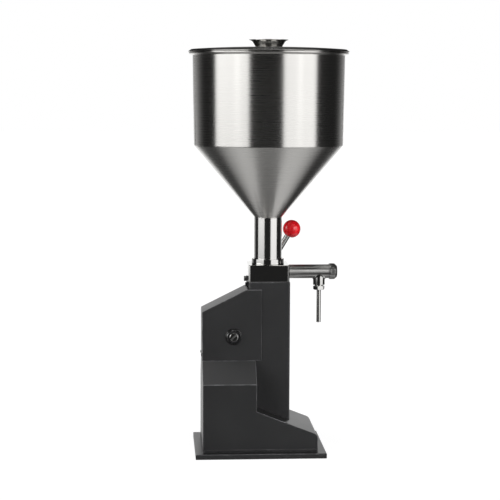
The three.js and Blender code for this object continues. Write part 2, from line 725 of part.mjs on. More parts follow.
const leverGroup = assembly(
  -pivot.behind, 0, pivotLevel,
  piece(
    'thrust_washer', machinedSteel,
    facing.far(ring(lever.washerRadius, pivot.radius + fit, 0, lever.washerThickness, sides.shaft)),
    0, washerStart, 0,
  ),
  piece('lever_hub', blackPaint, leverHub()),
  piece('hub_grub_screw', darkSteel, grubScrew(), 0, rodPlane, 0),
  piece('lever_rod', polishedSteel, leverRod(), 0, rodPlane, 0),
  piece('ball_knob', redBall, ballKnob(), lever.length, rodPlane, 0),
);
leverGroup.rotation.y = -degrees(pivot.leverAngle);

// Pump: cylinder, its nut, piston, rod and crosshead on the origin's axis

const nutTop = columnTop - column.top - seam;
const pistonTop = cylinderTop - piston.headroom;
const pistonBottom = pistonTop - piston.length;
const eyeTop = pinLevel + crosshead.eyeAbove;
const rodBottom = eyeTop - crosshead.socketDepth + seam;
const rodTop = pistonBottom + piston.rodSocket - seam;
const pinHalf = cheekOutside + crosshead.pinProud;

function cylinder() {
  return turned(outline(
    [cylinderRadius - pump.mouth, cylinderBottom], [cylinderRadius, cylinderBottom + pump.mouth],
    [cylinderRadius, cylinderTop], [pump.bore, cylinderTop],
    [pump.bore, cylinderBottom + pump.mouth], [pump.bore + pump.mouth, cylinderBottom],
  ), sides.pump);
}

function ringNut() {
  const outer = cylinderRadius + pump.nutWidth;
  const nut = ring(outer, cylinderRadius + fit, nutTop - pump.nutHeight, nutTop, sides.pump);
  const notches = [0, 1, 2, 3].map((i) => box(
    outer - pump.notchDepth, outer + overrun, -pump.notchWidth / 2, pump.notchWidth / 2,
    nutTop - pump.nutHeight - overrun, nutTop + overrun,
  ).rotateZ((i * Math.PI) / 2 + Math.PI / 4));
  return cut(nut, ...notches);
}

const sealBottoms = [
  pistonBottom + piston.sealInset,
  pistonTop - piston.sealInset - piston.sealHeight,
];

function pistonHead() {
  const outer = pump.bore - fit;
  const groove = outer - piston.sealDepth;
  const grooves = sealBottoms.flatMap((level) => [
    [outer, level], [groove, level], [groove, level + piston.sealHeight], [outer, level + piston.sealHeight],
  ]);
  const sink = piston.screwHead + fit;
  return turned(outline(
    [outer, pistonBottom], ...grooves,
    [outer, pistonTop], [sink, pistonTop], [sink, pistonTop - piston.screwHeadHeight - seam],
    [piston.screwRadius + fit, pistonTop - piston.screwHeadHeight - seam],
    [piston.screwRadius + fit, pistonBottom + piston.rodSocket],
    [piston.rodRadius + fit, pistonBottom + piston.rodSocket], [piston.rodRadius + fit, pistonBottom],
  ), sides.pump);
}

// A seal whose middle stands proud of its groove's mouth, as a round-edged ring does.
function pistonSeal(level) {
  const outer = pump.bore - piston.sealPlay;
  const inner = pump.bore - fit - piston.sealDepth + piston.sealPlay;
  const bottom = level + piston.sealPlay;
  const top = level + piston.sealHeight - piston.sealPlay;
  const roll = (top - bottom) / 3;
  return turned(outline(
    [inner, bottom], [outer - roll, bottom], [outer, bottom + roll], [outer, top - roll],
    [outer - roll, top], [inner, top],
  ), sides.pump);
}

function pistonRod() {
  const rod = ring(piston.rodRadius, 0, rodBottom, rodTop, sides.shaft, seam);
  const tapped = ring(
    piston.screwRadius + fit, 0, pistonTop - piston.screwHeadHeight - piston.screwLength - overrun,
    rodTop + overrun, sides.small,
  );
  return cut(rod, tapped);
}

function pistonScrew() {
  const screw = socketScrew(piston.screwRadius, piston.screwHead, piston.screwHeadHeight, piston.screwLength);
  return screw.translate(0, 0, pistonTop - piston.screwHeadHeight);
}

function rodEye() {
  const { eyeRadius, eyeBelow, eyeEdge, pinRadius } = crosshead;
  const eye = ring(eyeRadius, 0, pinLevel - eyeBelow, eyeTop, sides.shaft, eyeEdge);
  const socket = ring(piston.rodRadius + fit, 0, eyeTop - crosshead.socketDepth, eyeTop + overrun, sides.shaft);
  const cross = facing.far(ring(pinRadius + fit, 0, -eyeRadius - overrun, eyeRadius + overrun, sides.shaft));
  return cut(eye, socket, cross.translate(0, 0, pinLevel));
}

const crossheadPin = () => facing.far(ring(crosshead.pinRadius, 0, -pinHalf, pinHalf, sides.shaft, seam));
const roller = () => facing.far(ring(
  crosshead.rollerRadius, crosshead.pinRadius + fit, cheekInside + seam, cheekOutside - seam, sides.shaft,
));
const mirrored = (geometry) => geometry.rotateZ(Math.PI);

const pumpGroup = assembly(
  0, 0, 0,
  piece('pump_cylinder', machinedSteel, cylinder()),
  piece('cylinder_ring_nut', darkSteel, ringNut()),
  piece('piston', machinedSteel, pistonHead()),
  piece('piston_seal_lower', rubber, pistonSeal(sealBottoms[0])),
  piece('piston_seal_upper', rubber, pistonSeal(sealBottoms[1])),
  piece('piston_screw', darkSteel, pistonScrew()),
  piece('piston_rod', machinedSteel, pistonRod()),
  piece('rod_eye', machinedSteel, rodEye()),
  piece('crosshead_pin', darkSteel, crossheadPin(), 0, 0, pinLevel),
  piece('pin_roller_near', bronze, mirrored(roller()), 0, 0, pinLevel),
  piece('pin_roller_far', bronze, roller(), 0, 0, pinLevel),
);

// Valve block with the inlet valve, and the outlet with its own valve

const counterbore = pump.spigot + fit + block.ringHeight + fit;
const seatBottom = blockTop - block.seatHeight;
const tubeStart = blockHalfLength - outlet.spigot;
const tubeEnd = tubeStart + outlet.length + outlet.spigot - seam;
const tubeBore = outlet.radius - outlet.wall;
const branchAt = blockHalfLength + outlet.length - outlet.branchBehind;

function valveBlock() {
  const { chamfer } = block;
  const plan = outline(
    [-blockHalfLength + chamfer, -blockHalfDepth], [blockHalfLength - chamfer, -blockHalfDepth],
    [blockHalfLength, -blockHalfDepth + chamfer], [blockHalfLength, blockHalfDepth - chamfer],
    [blockHalfLength - chamfer, blockHalfDepth], [-blockHalfLength + chamfer, blockHalfDepth],
    [-blockHalfLength, blockHalfDepth - chamfer], [-blockHalfLength, -blockHalfDepth + chamfer],
  );
  const blockScrewHole = facing.rear(screwHole(clampLug.screwRadius, -clampLug.screwLength, overrun))
    .translate(lugFace, 0, blockScrewLevel);
  return cut(
    raised(plan, blockBottom, blockTop, block.edge),
    ring(cylinderRadius + fit, 0, blockBottom - overrun, blockBottom + counterbore, sides.pump),
    ring(block.chamberRadius, 0, blockBottom, seatBottom + overrun, sides.pump),
    ring(block.seatRadius + fit, 0, seatBottom, blockTop + overrun, sides.pump),
    facing.front(ring(tubeBore, 0, 0, blockHalfLength, sides.shaft)).translate(0, 0, outletLevel),
    facing.front(ring(outlet.radius + fit, 0, tubeStart - fit, blockHalfLength + overrun, sides.pump))
      .translate(0, 0, outletLevel),
    blockScrewHole,
  );
}

function cylinderRing() {
  const bottom = cylinderTop + fit / 2;
  return ring(cylinderRadius, cylinderRadius - pump.wall + fit, bottom, bottom + block.ringHeight, sides.pump);
}

const seatRing = () => turned(outline(
  [inlet.opening, blockTop - seam], [inlet.opening, seatBottom + inlet.seatEdge + seam],
  [inlet.opening + inlet.seatEdge, seatBottom + seam], [block.seatRadius, seatBottom + seam],
  [block.seatRadius, blockTop - seam],
), sides.pump);

const poppetTop = seatBottom - inlet.sealHeight;
const spiderBottom = blockTop + seam;
const springBottom = spiderBottom + inlet.hubHeight + seam;
const stemNutBottom = springBottom + inlet.springHeight + seam;
const stemTop = stemNutBottom + inlet.nutHeight - inlet.nutCap;

function inletPoppet() {
  const disc = poppetTop - inlet.poppetHeight;
  return turned(outline(
    [0, disc], [inlet.poppetRadius - inlet.poppetEdge, disc], [inlet.poppetRadius, disc + inlet.poppetEdge],
    [inlet.poppetRadius, poppetTop - seam], [inlet.stemRadius, poppetTop - seam],
    [inlet.stemRadius, stemTop], [0, stemTop],
  ), sides.shaft);
}

const inletSeal = () => ring(
  inlet.poppetRadius - seam, inlet.stemRadius + fit, poppetTop, seatBottom, sides.shaft,
);

const neckBore = neck.radius - neck.wall - neck.floorStep;
const spiderRadius = neckBore - inlet.spiderPlay;

// A three-armed guide for the valve's stem, standing on the block inside the neck's socket.
function spider() {
  const rim = ring(
    spiderRadius, spiderRadius - inlet.spiderRing, spiderBottom, spiderBottom + inlet.spiderHeight, sides.pump,
  );
  const hub = ring(inlet.hubRadius, 0, spiderBottom, spiderBottom + inlet.hubHeight, sides.shaft);
  const arms = [0, 1, 2].map((i) => box(
    0, spiderRadius - inlet.spiderRing / 2, -inlet.spiderArm / 2, inlet.spiderArm / 2,
    spiderBottom, spiderBottom + inlet.spiderHeight,
  ).rotateZ((i * 2 * Math.PI) / 3 + Math.PI / 2));
  const bore = ring(
    inlet.stemRadius + fit, 0, spiderBottom - overrun, spiderBottom + inlet.hubHeight + overrun, sides.shaft,
  );
  return cut(joined(rim, hub, ...arms), bore);
}

// A coil spring about Z between two levels; its wire starts and ends a wire's radius inside them.
function coilSpring(radius, wire, coils, bottom, top) {
  class Coil extends THREE.Curve {
    getPoint(t, target = new THREE.Vector3()) {
      const turn = t * coils * 2 * Math.PI;
      const level = THREE.MathUtils.lerp(bottom + wire, top - wire, t);
      return target.set(radius * Math.cos(turn), radius * Math.sin(turn), level);
    }
  }
  return new THREE.ExtrudeGeometry(new THREE.Shape(polygon(sides.wire, wire)), {
    steps: coils * sides.coil,
    extrudePath: new Coil(),
    bevelEnabled: false,
  });
}

const inletSpring = () => coilSpring(
  inlet.springRadius, inlet.wireRadius, inlet.coils, springBottom, stemNutBottom - seam,
);

function stemNut() {
  const top = stemNutBottom + inlet.nutHeight;
  const blank = common(
    raised(polygon(6, inlet.nutRadius), stemNutBottom, top),
    ring(inlet.nutRadius, 0, stemNutBottom, top, sides.small, inlet.nutEdge),
  );
  const socket = ring(inlet.stemRadius + fit, 0, stemNutBottom - overrun, stemTop + seam, sides.shaft);
  return cut(blank, socket);
}

// The branch below the tube, whose root flares out like a weld that is ground smooth.
function saddle() {
  const { saddleRadius, saddleDrop, branchRadius, branchDrop, branchEdge, threadRadius } = outlet;
  const root = saddleRadius * saddleShares.top;
  const end = -branchDrop - outlet.threadLength;
  return turned(outline(
    [0, 0], [root, 0], [root, -outlet.radius * saddleShares.topDrop],
    [branchRadius * saddleShares.flare, -outlet.radius * saddleShares.flareDrop], [branchRadius, -saddleDrop],
    [branchRadius, -branchDrop + branchEdge], [branchRadius - branchEdge, -branchDrop],
    [threadRadius, -branchDrop], [threadRadius, end], [0, end],
  ), sides.pump);
}

function outletTube() {
  const body = joined(
    facing.front(ring(outlet.radius, 0, tubeStart, tubeEnd, sides.tube)),
    saddle().translate(branchAt, 0, 0),
  );
  const bore = facing.front(ring(tubeBore, 0, tubeStart - overrun, tubeEnd + overrun, sides.shaft));
  const branchBore = ring(
    outlet.branchBore, 0, -outlet.branchDrop - outlet.threadLength - overrun, 0, sides.shaft,
  );
  return cut(body, bore, branchBore.translate(branchAt, 0, 0));
}

const seatStart = tubeStart + outlet.seatOffset + outlet.spigot;
const seatEnd = seatStart + outlet.seatLength;
const sealEnd = seatEnd + outlet.sealLength;
const poppetEnd = sealEnd + outlet.poppetLength;
const capStart = tubeEnd - cap.thread;
const capInside = tubeEnd + seam + cap.gasket + seam;
const capEnd = capStart + cap.length;
const capBossStart = capInside - cap.bossLength;
const guideEnd = capBossStart + cap.guideDepth;
const stemEnd = guideEnd - outlet.travel - outlet.stemGap;

const outletSeat = () => turned(outline(
  [outlet.seatOpening, seatStart], [tubeBore - fit, seatStart], [tubeBore - fit, seatEnd],
  [outlet.seatOpening + outlet.seatEdge, seatEnd], [outlet.seatOpening, seatEnd - outlet.seatEdge],
), sides.shaft);

const outletPoppet = () => turned(outline(
  [0, sealEnd + seam], [outlet.poppetRadius, sealEnd + seam], [outlet.poppetRadius, poppetEnd],
  [outlet.stemRadius, poppetEnd], [outlet.stemRadius, stemEnd], [0, stemEnd],
), sides.shaft);

const outletSeal = () => ring(outlet.sealRadius, 0, seatEnd + seam, sealEnd, sides.shaft);

const outletSpring = () => coilSpring(
  outlet.springRadius, outlet.wireRadius, outlet.coils, poppetEnd + seam, capBossStart - seam,
);

// The cap screws over the tube's end; a boss inside it guides the outlet valve's stem.
function hexCap() {
  const hex = raised(polygon(6, hexRadius(cap.width)), capStart + cap.collar, capEnd);
  const { collarRadius, dome } = cap;
  const crown = turned(outline(
    [0, capStart], [collarRadius, capStart], [collarRadius, capEnd - dome],
    [collarRadius * crownShares.shoulder, capEnd - dome * crownShares.shoulderDrop],
    [collarRadius * crownShares.top, capEnd], [0, capEnd],
  ), sides.tube);
  const collar = ring(collarRadius, 0, capStart, capStart + cap.collar, sides.tube, cap.collarEdge);
  const inside = ring(outlet.radius + fit, 0, capStart - overrun, capInside, sides.tube);
  const stemBoss = ring(cap.bossRadius, 0, capBossStart, capInside + overrun, sides.shaft);
  const guide = ring(outlet.stemRadius + fit, 0, capBossStart - overrun, guideEnd, sides.shaft);
  return cut(joined(cut(joined(common(hex, crown), collar), inside), stemBoss), guide);
}

const capGasket = () => ring(
  outlet.radius, cap.bossRadius + fit, tubeEnd + seam, tubeEnd + seam + cap.gasket, sides.pump,
);

const branchEnd = outletLevel - outlet.branchDrop - outlet.threadLength;
const nozzleTop = branchEnd - seam - nozzle.gasket - seam;
const nozzleNutFloor = nozzleTop - nozzle.flange - seam;
const nozzleNutBottom = nozzleNutFloor - nozzle.nutFloor;
const nozzleNutTop = nozzleNutBottom + nozzle.nutHeight;

function nozzleNut() {
  const radius = hexRadius(nozzle.nutWidth);
  const blank = common(
    raised(polygon(6, radius), nozzleNutBottom, nozzleNutTop),
    ring(radius, 0, nozzleNutBottom, nozzleNutTop, sides.shaft, nozzle.nutEdge),
  );
  return cut(
    blank,
    ring(outlet.threadRadius + fit, 0, nozzleNutFloor, nozzleNutTop + overrun, sides.shaft),
    ring(nozzle.radius + fit, 0, nozzleNutBottom - overrun, nozzleNutTop, sides.shaft),
  ).rotateZ(degrees(nozzle.nutTurn));
}

const nozzleTube = () => turned(outline(
  [nozzle.bore, nozzle.tip], [nozzle.radius - nozzle.tipEdge, nozzle.tip],
  [nozzle.radius, nozzle.tip + nozzle.tipEdge], [nozzle.radius, nozzleTop - nozzle.flange],
  [nozzle.flangeRadius, nozzleTop - nozzle.flange], [nozzle.flangeRadius, nozzleTop], [nozzle.bore, nozzleTop],
), sides.shaft);

const nozzleGasket = () => ring(
  nozzle.flangeRadius, nozzle.bore + fit, nozzleTop + seam, nozzleTop + seam + nozzle.gasket, sides.shaft,
);

const front = (geometry) => facing.front(geometry).translate(0, 0, outletLevel);

const valveGroup = assembly(
  0, 0, 0,
  piece('valve_block', polishedSteel, valveBlock()),
  piece('cylinder_seal_ring', rubber, cylinderRing()),
  piece('inlet_seat', machinedSteel, seatRing()),
  piece('inlet_poppet', machinedSteel, inletPoppet()),
  piece('inlet_seal', silicone, inletSeal()),
  piece('stem_guide', machinedSteel, spider()),
  piece('inlet_spring', machinedSteel, inletSpring()),
  piece('stem_nut', machinedSteel, stemNut()),
  piece('outlet_tube', polishedSteel, outletTube(), 0, 0, outletLevel),
  piece('outlet_seat', machinedSteel, front(outletSeat())),
  piece('outlet_poppet', machinedSteel, front(outletPoppet())),
  piece('outlet_seal', silicone, front(outletSeal())),
  piece('outlet_spring', machinedSteel, front(outletSpring())),
  piece('end_cap', polishedSteel, front(hexCap())),
  piece('cap_gasket', silicone, front(capGasket())),
  piece('nozzle_nut', polishedSteel, nozzleNut(), branchAt, 0, 0),
  piece('nozzle_gasket', silicone, nozzleGasket(), branchAt, 0, 0),
  piece('nozzle_tube', polishedSteel, nozzleTube(), branchAt, 0, 0),
);

// Hopper with its socket and gasket, and the lid with its knob

const socketBottom = blockTop + seam;
const socketTop = socketBottom + neck.socketHeight;
const gasketBottom = socketBottom + neck.socketFloor + seam;
const neckBottom = gasketBottom + neck.gasket + seam;
const coneBottom = socketTop + neck.exposed;
const drumBottom = coneBottom + hopper.coneHeight;
const rimTop = drumBottom + hopper.drumHeight + hopper.rimHeight;
const hopperTopRadius = hopper.drumRadius + hopper.taper;

function neckSocket() {
  return turned(outline(
    [neckBore, socketBottom], [neck.socketRadius, socketBottom],
    [neck.socketRadius, socketTop - neck.socketEdge], [neck.socketRadius - neck.socketEdge, socketTop],
    [neck.radius + fit, socketTop], [neck.radius + fit, socketBottom + neck.socketFloor],
    [neckBore, socketBottom + neck.socketFloor],
  ), sides.tube);
}

const neckGasket = () => ring(neck.radius, neckBore, gasketBottom, gasketBottom + neck.gasket, sides.pump);

const neckTube = () => ring(neck.radius, neck.radius - neck.wall, neckBottom, coneBottom, sides.tube);

// The cone and drum, which stand on the neck tube with a short collar.
function hopperShell() {
  const drumTop = rimTop - hopper.rimHeight;
  const collarBottom = coneBottom + seam;
  const wallLine = outline(
    [neck.radius, collarBottom], [neck.radius, collarBottom + hopper.collar], [hopper.drumRadius, drumBottom],
    [hopperTopRadius, rimTop],
  );
  const radii = [0, 0, hopper.shoulderCurve, 0];
  const outside = rounded(wallLine, radii).slice(0, -1);
  const inside = rounded(offset(wallLine, hopper.wall, false), radii).reverse();
  const rim = outline(...rimShares.map(([out, up]) => [
    hopperTopRadius + hopper.rimFlare * out, drumTop + hopper.rimHeight * up,
  ]));
  return turned([...outside, ...rim, ...inside], sides.drum);
}

const lidRadius = hopperTopRadius + hopper.rimFlare + lid.overhang;
const lidBottom = rimTop + seam;
const lidPeak = lidBottom + lid.rise;

function lidShell() {
  const edgeTop = lidBottom + lid.edgeHeight;
  const lipOuter = hopperTopRadius - hopper.wall - lid.lipPlay;
  const lipInner = lipOuter - lid.lipWall;
  const inner = lidRadius - lid.shelf;
  const under = edgeTop - lid.thickness;
  const { flank, corner, top, foot } = lidEdgeShares;
  const dome = (level, height) => domeShares.map((share) => [
    THREE.MathUtils.lerp(lid.domeFlat, inner, share), level + height * (1 - share ** 2),
  ]);
  const domeHeight = lidPeak - edgeTop;
  return turned(outline(
    [lidRadius, lidBottom + lid.edgeHeight * flank], [lidRadius, edgeTop - lid.edgeHeight * corner],
    [lidRadius - lid.edgeHeight * top, edgeTop], [inner, edgeTop], ...dome(edgeTop, domeHeight),
    [lid.domeFlat, lidPeak], [knob.screwRadius + fit, lidPeak],
    [knob.screwRadius + fit, lidPeak - lid.thickness], [lid.domeFlat, lidPeak - lid.thickness],
    ...dome(under, domeHeight).reverse(), [lipInner, under], [lipInner, lidBottom - lid.lipDrop],
    [lipOuter, lidBottom - lid.lipDrop], [lipOuter, lidBottom],
    [lidRadius - lid.edgeHeight * foot, lidBottom],
  ), sides.drum);
}

const knobFoot = lidPeak + seam;
const knobTop = knobFoot + knob.height;
const knobTapped = knobTop - knob.dishDepth - lid.thickness;

function lidKnob() {
  return turned(outline(
    [knob.screwRadius + fit, knobFoot], [knob.footRadius, knobFoot],
    [knob.waistRadius, knobFoot + knob.waistHeight],
    [knob.lipRadius - knob.lipThickness, knobTop - knob.lipThickness], [knob.lipRadius, knobTop],
    [knob.waistRadius, knobTop], [knob.footRadius * knob.dishShare, knobTop - knob.dishDepth],
    [0, knobTop - knob.dishDepth], [0, knobTapped], [knob.screwRadius + fit, knobTapped],
  ), sides.tube);
}

const knobScrewLevel = lidPeak - lid.thickness - seam;
const knobScrewLength = knobTapped - fit - knobScrewLevel;
const knobScrew = () => socketScrew(knob.screwRadius, knob.screwHead, knob.screwHeadHeight, knobScrewLength)
  .rotateX(Math.PI);

const hopperGroup = assembly(
  0, 0, 0,
  piece('neck_socket', polishedSteel, neckSocket()),
  piece('neck_gasket', silicone, neckGasket()),
  piece('hopper_neck', polishedSteel, neckTube()),
  piece('hopper', brushedSteel, hopperShell()),
);

const lidGroup = assembly(
  0, 0, 0,
  piece('lid', brushedSteel, lidShell()),
  piece('lid_knob', polishedSteel, lidKnob()),
  piece('knob_screw', machinedSteel, knobScrew(), 0, 0, knobScrewLevel),
);

export default assembly(0, 0, 0, stand, armGroup, leverGroup, pumpGroup, valveGroup, hopperGroup, lidGroup);
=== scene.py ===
"""Looks and studio of the manual bottle filler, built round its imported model.

Metres in the model's own frame: +X points to the outlet, -Y to the near side and +Z up.
Profiles and outlines in the code are in millimetres, because that is how such parts are drawn.
"""

import json
import math

import bpy
from bpy.props import FloatProperty, FloatVectorProperty, IntProperty, PointerProperty
from mathutils import Euler, Matrix, Vector

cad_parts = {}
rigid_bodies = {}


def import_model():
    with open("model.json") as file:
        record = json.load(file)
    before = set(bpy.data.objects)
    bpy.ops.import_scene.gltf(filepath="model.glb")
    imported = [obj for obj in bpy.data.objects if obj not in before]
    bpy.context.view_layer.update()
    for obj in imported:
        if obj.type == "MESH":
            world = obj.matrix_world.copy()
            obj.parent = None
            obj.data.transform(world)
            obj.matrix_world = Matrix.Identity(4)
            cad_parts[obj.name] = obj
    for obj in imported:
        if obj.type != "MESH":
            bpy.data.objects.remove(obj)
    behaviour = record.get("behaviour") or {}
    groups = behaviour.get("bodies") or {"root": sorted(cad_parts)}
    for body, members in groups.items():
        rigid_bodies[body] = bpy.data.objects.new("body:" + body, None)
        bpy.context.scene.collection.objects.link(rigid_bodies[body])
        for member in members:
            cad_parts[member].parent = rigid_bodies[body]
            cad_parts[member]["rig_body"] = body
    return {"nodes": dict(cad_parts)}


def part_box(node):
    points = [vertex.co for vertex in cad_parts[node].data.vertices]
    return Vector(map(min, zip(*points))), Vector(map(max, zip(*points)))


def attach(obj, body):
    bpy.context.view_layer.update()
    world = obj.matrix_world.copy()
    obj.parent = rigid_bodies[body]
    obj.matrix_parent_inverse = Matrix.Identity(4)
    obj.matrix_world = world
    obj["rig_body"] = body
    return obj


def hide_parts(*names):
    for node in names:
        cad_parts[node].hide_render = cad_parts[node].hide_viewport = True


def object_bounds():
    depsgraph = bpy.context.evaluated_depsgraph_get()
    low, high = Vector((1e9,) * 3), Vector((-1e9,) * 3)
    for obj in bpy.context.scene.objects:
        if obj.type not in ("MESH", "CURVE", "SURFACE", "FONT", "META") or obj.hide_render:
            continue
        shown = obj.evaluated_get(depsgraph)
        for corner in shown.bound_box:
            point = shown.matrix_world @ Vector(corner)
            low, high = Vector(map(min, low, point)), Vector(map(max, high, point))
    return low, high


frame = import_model()
cad_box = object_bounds()

bl_info = {
    "name": "Manual bottle filler",
    "version": (1, 0, 0),
    "blender": (4, 5, 0),
    "location": "3D View > Sidebar > Bottle filler",
    "description": "Dresses the packed bottle filler and sets up its studio",
    "category": "Object",
}

MM = 0.001
UP = Vector((0, 0, 1))
NEAR = Vector((0, -1, 0))
FAR = Vector((0, 1, 0))
FRONT = Vector((1, 0, 0))
REAR = Vector((-1, 0, 0))

# Radii that several pieces share, in millimetres
OUTLET_RADIUS = 12.7
NECK_RADIUS = 25.5
SHAFT_BORE = 8.3
STUD_BORE = 3.3


def corners(node):
    """The lowest and highest corner of a CAD node, in millimetres."""
    low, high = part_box(node)
    return low / MM, high / MM


# Sizes and colours that a user would change


def length(name, description, default, low=0.0, high=1.0):
    return FloatProperty(
        name=name, description=description, default=default, min=low, max=high, unit="LENGTH",
        precision=5,
    )


def share(name, description, default):
    return FloatProperty(
        name=name, description=description, default=default, min=0, max=1, subtype="FACTOR"
    )


def colour(name, description, default):
    return FloatVectorProperty(
        name=name, description=description, default=default, size=3, min=0, max=1, subtype="COLOR"
    )


def brightness(name, description, default):
    return FloatProperty(name=name, description=description, default=default, min=0, max=10)


def steps_round(description, default, low, high):
    return IntProperty(name="Flats", description=description, default=default, min=low, max=high)


class FillerStandSizes(bpy.types.PropertyGroup):
    """Edges and screws of the stand."""

    fold: length("Fold radius", "Radius on the folded sheet's outer edges", 0.0009, high=0.001)
    plate_edge: length("Plate edge", "Radius on the base plate's edges", 0.0003, high=0.001)
    boss_edge: length("Boss edge", "Chamfer on the shaft bosses' rims", 0.0013, high=0.0014)
    screw_slot: length("Screw slot", "Width of the slot in a pan head", 0.0008, high=0.002)


class FillerHopperSizes(bpy.types.PropertyGroup):
    """Sheet and curves of the hopper and its lid."""

    wall: length("Sheet", "Thickness of the hopper's sheet", 0.0012, low=0.0005, high=0.003)
    shoulder: length("Shoulder curve", "Radius where the cone meets the drum", 0.004, high=0.02)
    bead: length("Rim bead", "Radius of the rolled bead on the hopper's rim", 0.0019, high=0.0022)
    lid_slope: length(
        "Lid slope", "Width of the slope round the lid's edge", 0.0052, low=0.003, high=0.008
    )
    lid_sheet: length("Lid sheet", "Thickness of the lid's sheet", 0.0014, low=0.0005, high=0.003)
    flats: steps_round("Steps round the big turned pieces", 160, 48, 256)


class FillerOutletSizes(bpy.types.PropertyGroup):
    """Block, outlet tube and nozzle."""

    block_edge: length("Block edge", "Radius on the block's chamfered edges", 0.0004, high=0.001)
    weld: length("Weld fillet", "Radius where the branch leaves the tube", 0.0032, high=0.004)
    flats: steps_round("Steps round the tubes and turned fittings", 72, 24, 128)


class FillerFinishes(bpy.types.PropertyGroup):
    """Colours of the finishes."""

    paint: colour(
        "Black paint", "Powder coat of the stand and the lever's hub", (0.026, 0.026, 0.027)
    )
    brushed: colour("Brushed steel", "Hopper and lid", (0.62, 0.61, 0.59))
    polished: colour("Polished steel", "Block, neck, outlet and knob", (0.64, 0.635, 0.62))
    machined: colour(
        "Machined steel", "Turned parts of the pump and the valves", (0.50, 0.50, 0.49)
    )
    oxide: colour("Dark steel", "Blackened screws, nut and clamp lug", (0.11, 0.11, 0.115))
    bronze: colour("Bronze", "Rollers on the crosshead pin", (0.42, 0.23, 0.09))
    ball: colour("Ball", "Red plastic of the lever's ball", (0.80, 0.008, 0.016))
    silicone: colour("Silicone", "Gaskets and valve faces", (0.62, 0.58, 0.50))
    rubber: colour("Rubber", "Piston seals and the cylinder's ring", (0.02, 0.02, 0.02))


class FillerStudio(bpy.types.PropertyGroup):
    """Light and floor."""

    left_panel: brightness("Left panel", "Brightness of the tall light panel on the left", 3.15)
    right_panel: brightness("Right panel", "Brightness of the tall light panel on the right", 2.45)
    overhead: brightness("Overhead", "Brightness of the light above", 1.6)
    backdrop: brightness("Backdrop", "Brightness of the backdrop behind, as metal shows it", 1.1)
    floor_glow: brightness("Floor glow", "Brightness of the lit floor, as metal shows it", 0.8)
    lamp_power: FloatProperty(
        name="Lamps", description="Power of each of the two soft lamps", default=0.4, min=0,
        max=100, unit="POWER",
    )
    floor: colour("Floor", "Plain pale floor", (0.80, 0.80, 0.80))
    floor_shade: share("Floor shade", "How much of the object's shadow the floor shows", 0.22)


# Modelling


def deselect():
    if bpy.context.mode != "OBJECT":
        bpy.ops.object.mode_set(mode="OBJECT")
    bpy.ops.object.select_all(action="DESELECT")


def pick(piece):
    deselect()
    piece.select_set(True)
    bpy.context.view_layer.objects.active = piece


def rename(piece, name):
    piece.name = name
    piece.data.name = name
    return piece


def settle(piece, turn=None, place=(0, 0, 0)):
    """Turns and moves a piece, in millimetres, and puts that into its mesh."""
    matrix = Matrix.Translation(Vector(place) * MM)
    piece.matrix_world = matrix @ turn.to_4x4() if turn else matrix
    pick(piece)
    bpy.ops.object.transform_apply(location=True, rotation=True, scale=True)
    return piece


def apply_modifier(piece, kind, **settings):
    pick(piece)
    modifier = piece.modifiers.new(kind.lower(), kind)
    for name, value in settings.items():
        setattr(modifier, name, value)
    bpy.ops.object.modifier_apply(modifier=modifier.name)


def close_seams(piece, crease):
    """Merges doubled points, drops loose ones, turns the faces outwards and smooths them."""
    pick(piece)
    bpy.ops.object.mode_set(mode="EDIT")
    bpy.ops.mesh.select_all(action="SELECT")
    bpy.ops.mesh.remove_doubles(threshold=1e-6)
    bpy.ops.mesh.delete_loose(use_verts=True, use_edges=True, use_faces=False)
    bpy.ops.mesh.select_all(action="SELECT")
    bpy.ops.mesh.normals_make_consistent(inside=False)
    bpy.ops.object.mode_set(mode="OBJECT")
    bpy.ops.object.shade_smooth_by_angle(angle=math.radians(crease))
    return piece


def rounded(points, radii, steps=5):
    """A closed outline in which each corner that has a radius becomes an arc."""
    result = []
    corner_points = [Vector(p) for p in points]
    for i, corner in enumerate(corner_points):
        radius = radii[i]
        if not radius:
            result.append(tuple(corner))
            continue
        back = (corner_points[i - 1] - corner).normalized()
        ahead = (corner_points[(i + 1) % len(points)] - corner).normalized()
        half = back.angle(ahead) / 2
        centre = corner + (back + ahead).normalized() * radius / math.sin(half)
        first = corner + back * radius / math.tan(half) - centre
        side = 1 if back.x * ahead.y - back.y * ahead.x < 0 else -1
        turn = side * (math.pi - 2 * half)
        for step in range(steps + 1):
            angle = turn * step / steps
            cos, sin = math.cos(angle), math.sin(angle)
            result.append(
                (centre.x + first.x * cos - first.y * sin, centre.y + first.x * sin + first.y * cos)
            )
    return result


def curve(start, bend, end, t):
    """A point on the curve from start to end that is drawn towards bend; t runs from 0 to 1."""
    return start * (1 - t) ** 2 + bend * 2 * t * (1 - t) + end * t ** 2


def wall(inner, outer, bottom, top):
    """The profile of a plain tube, or of a rod where inner is 0."""
    return [(inner, bottom), (outer, bottom), (outer, top), (inner, top)]


def turned(name, profile, steps=72, aim=UP, place=(0, 0, 0), crease=32):
    """A closed profile of radius and height, spun about an axis that then points the given way."""
    deselect()
    bpy.ops.mesh.primitive_circle_add(vertices=len(profile), radius=1, fill_type="NOTHING")
    piece = rename(bpy.context.object, name)
    for vertex, (radius, height) in zip(piece.data.vertices, profile):
        vertex.co = Vector((radius, 0, height)) * MM
    bpy.ops.object.mode_set(mode="EDIT")
    bpy.ops.mesh.select_all(action="SELECT")
    bpy.ops.mesh.spin(steps=steps, angle=math.tau, center=(0, 0, 0), axis=(0, 0, 1))
    close_seams(piece, crease)
    return settle(piece, UP.rotation_difference(aim).to_matrix(), place)


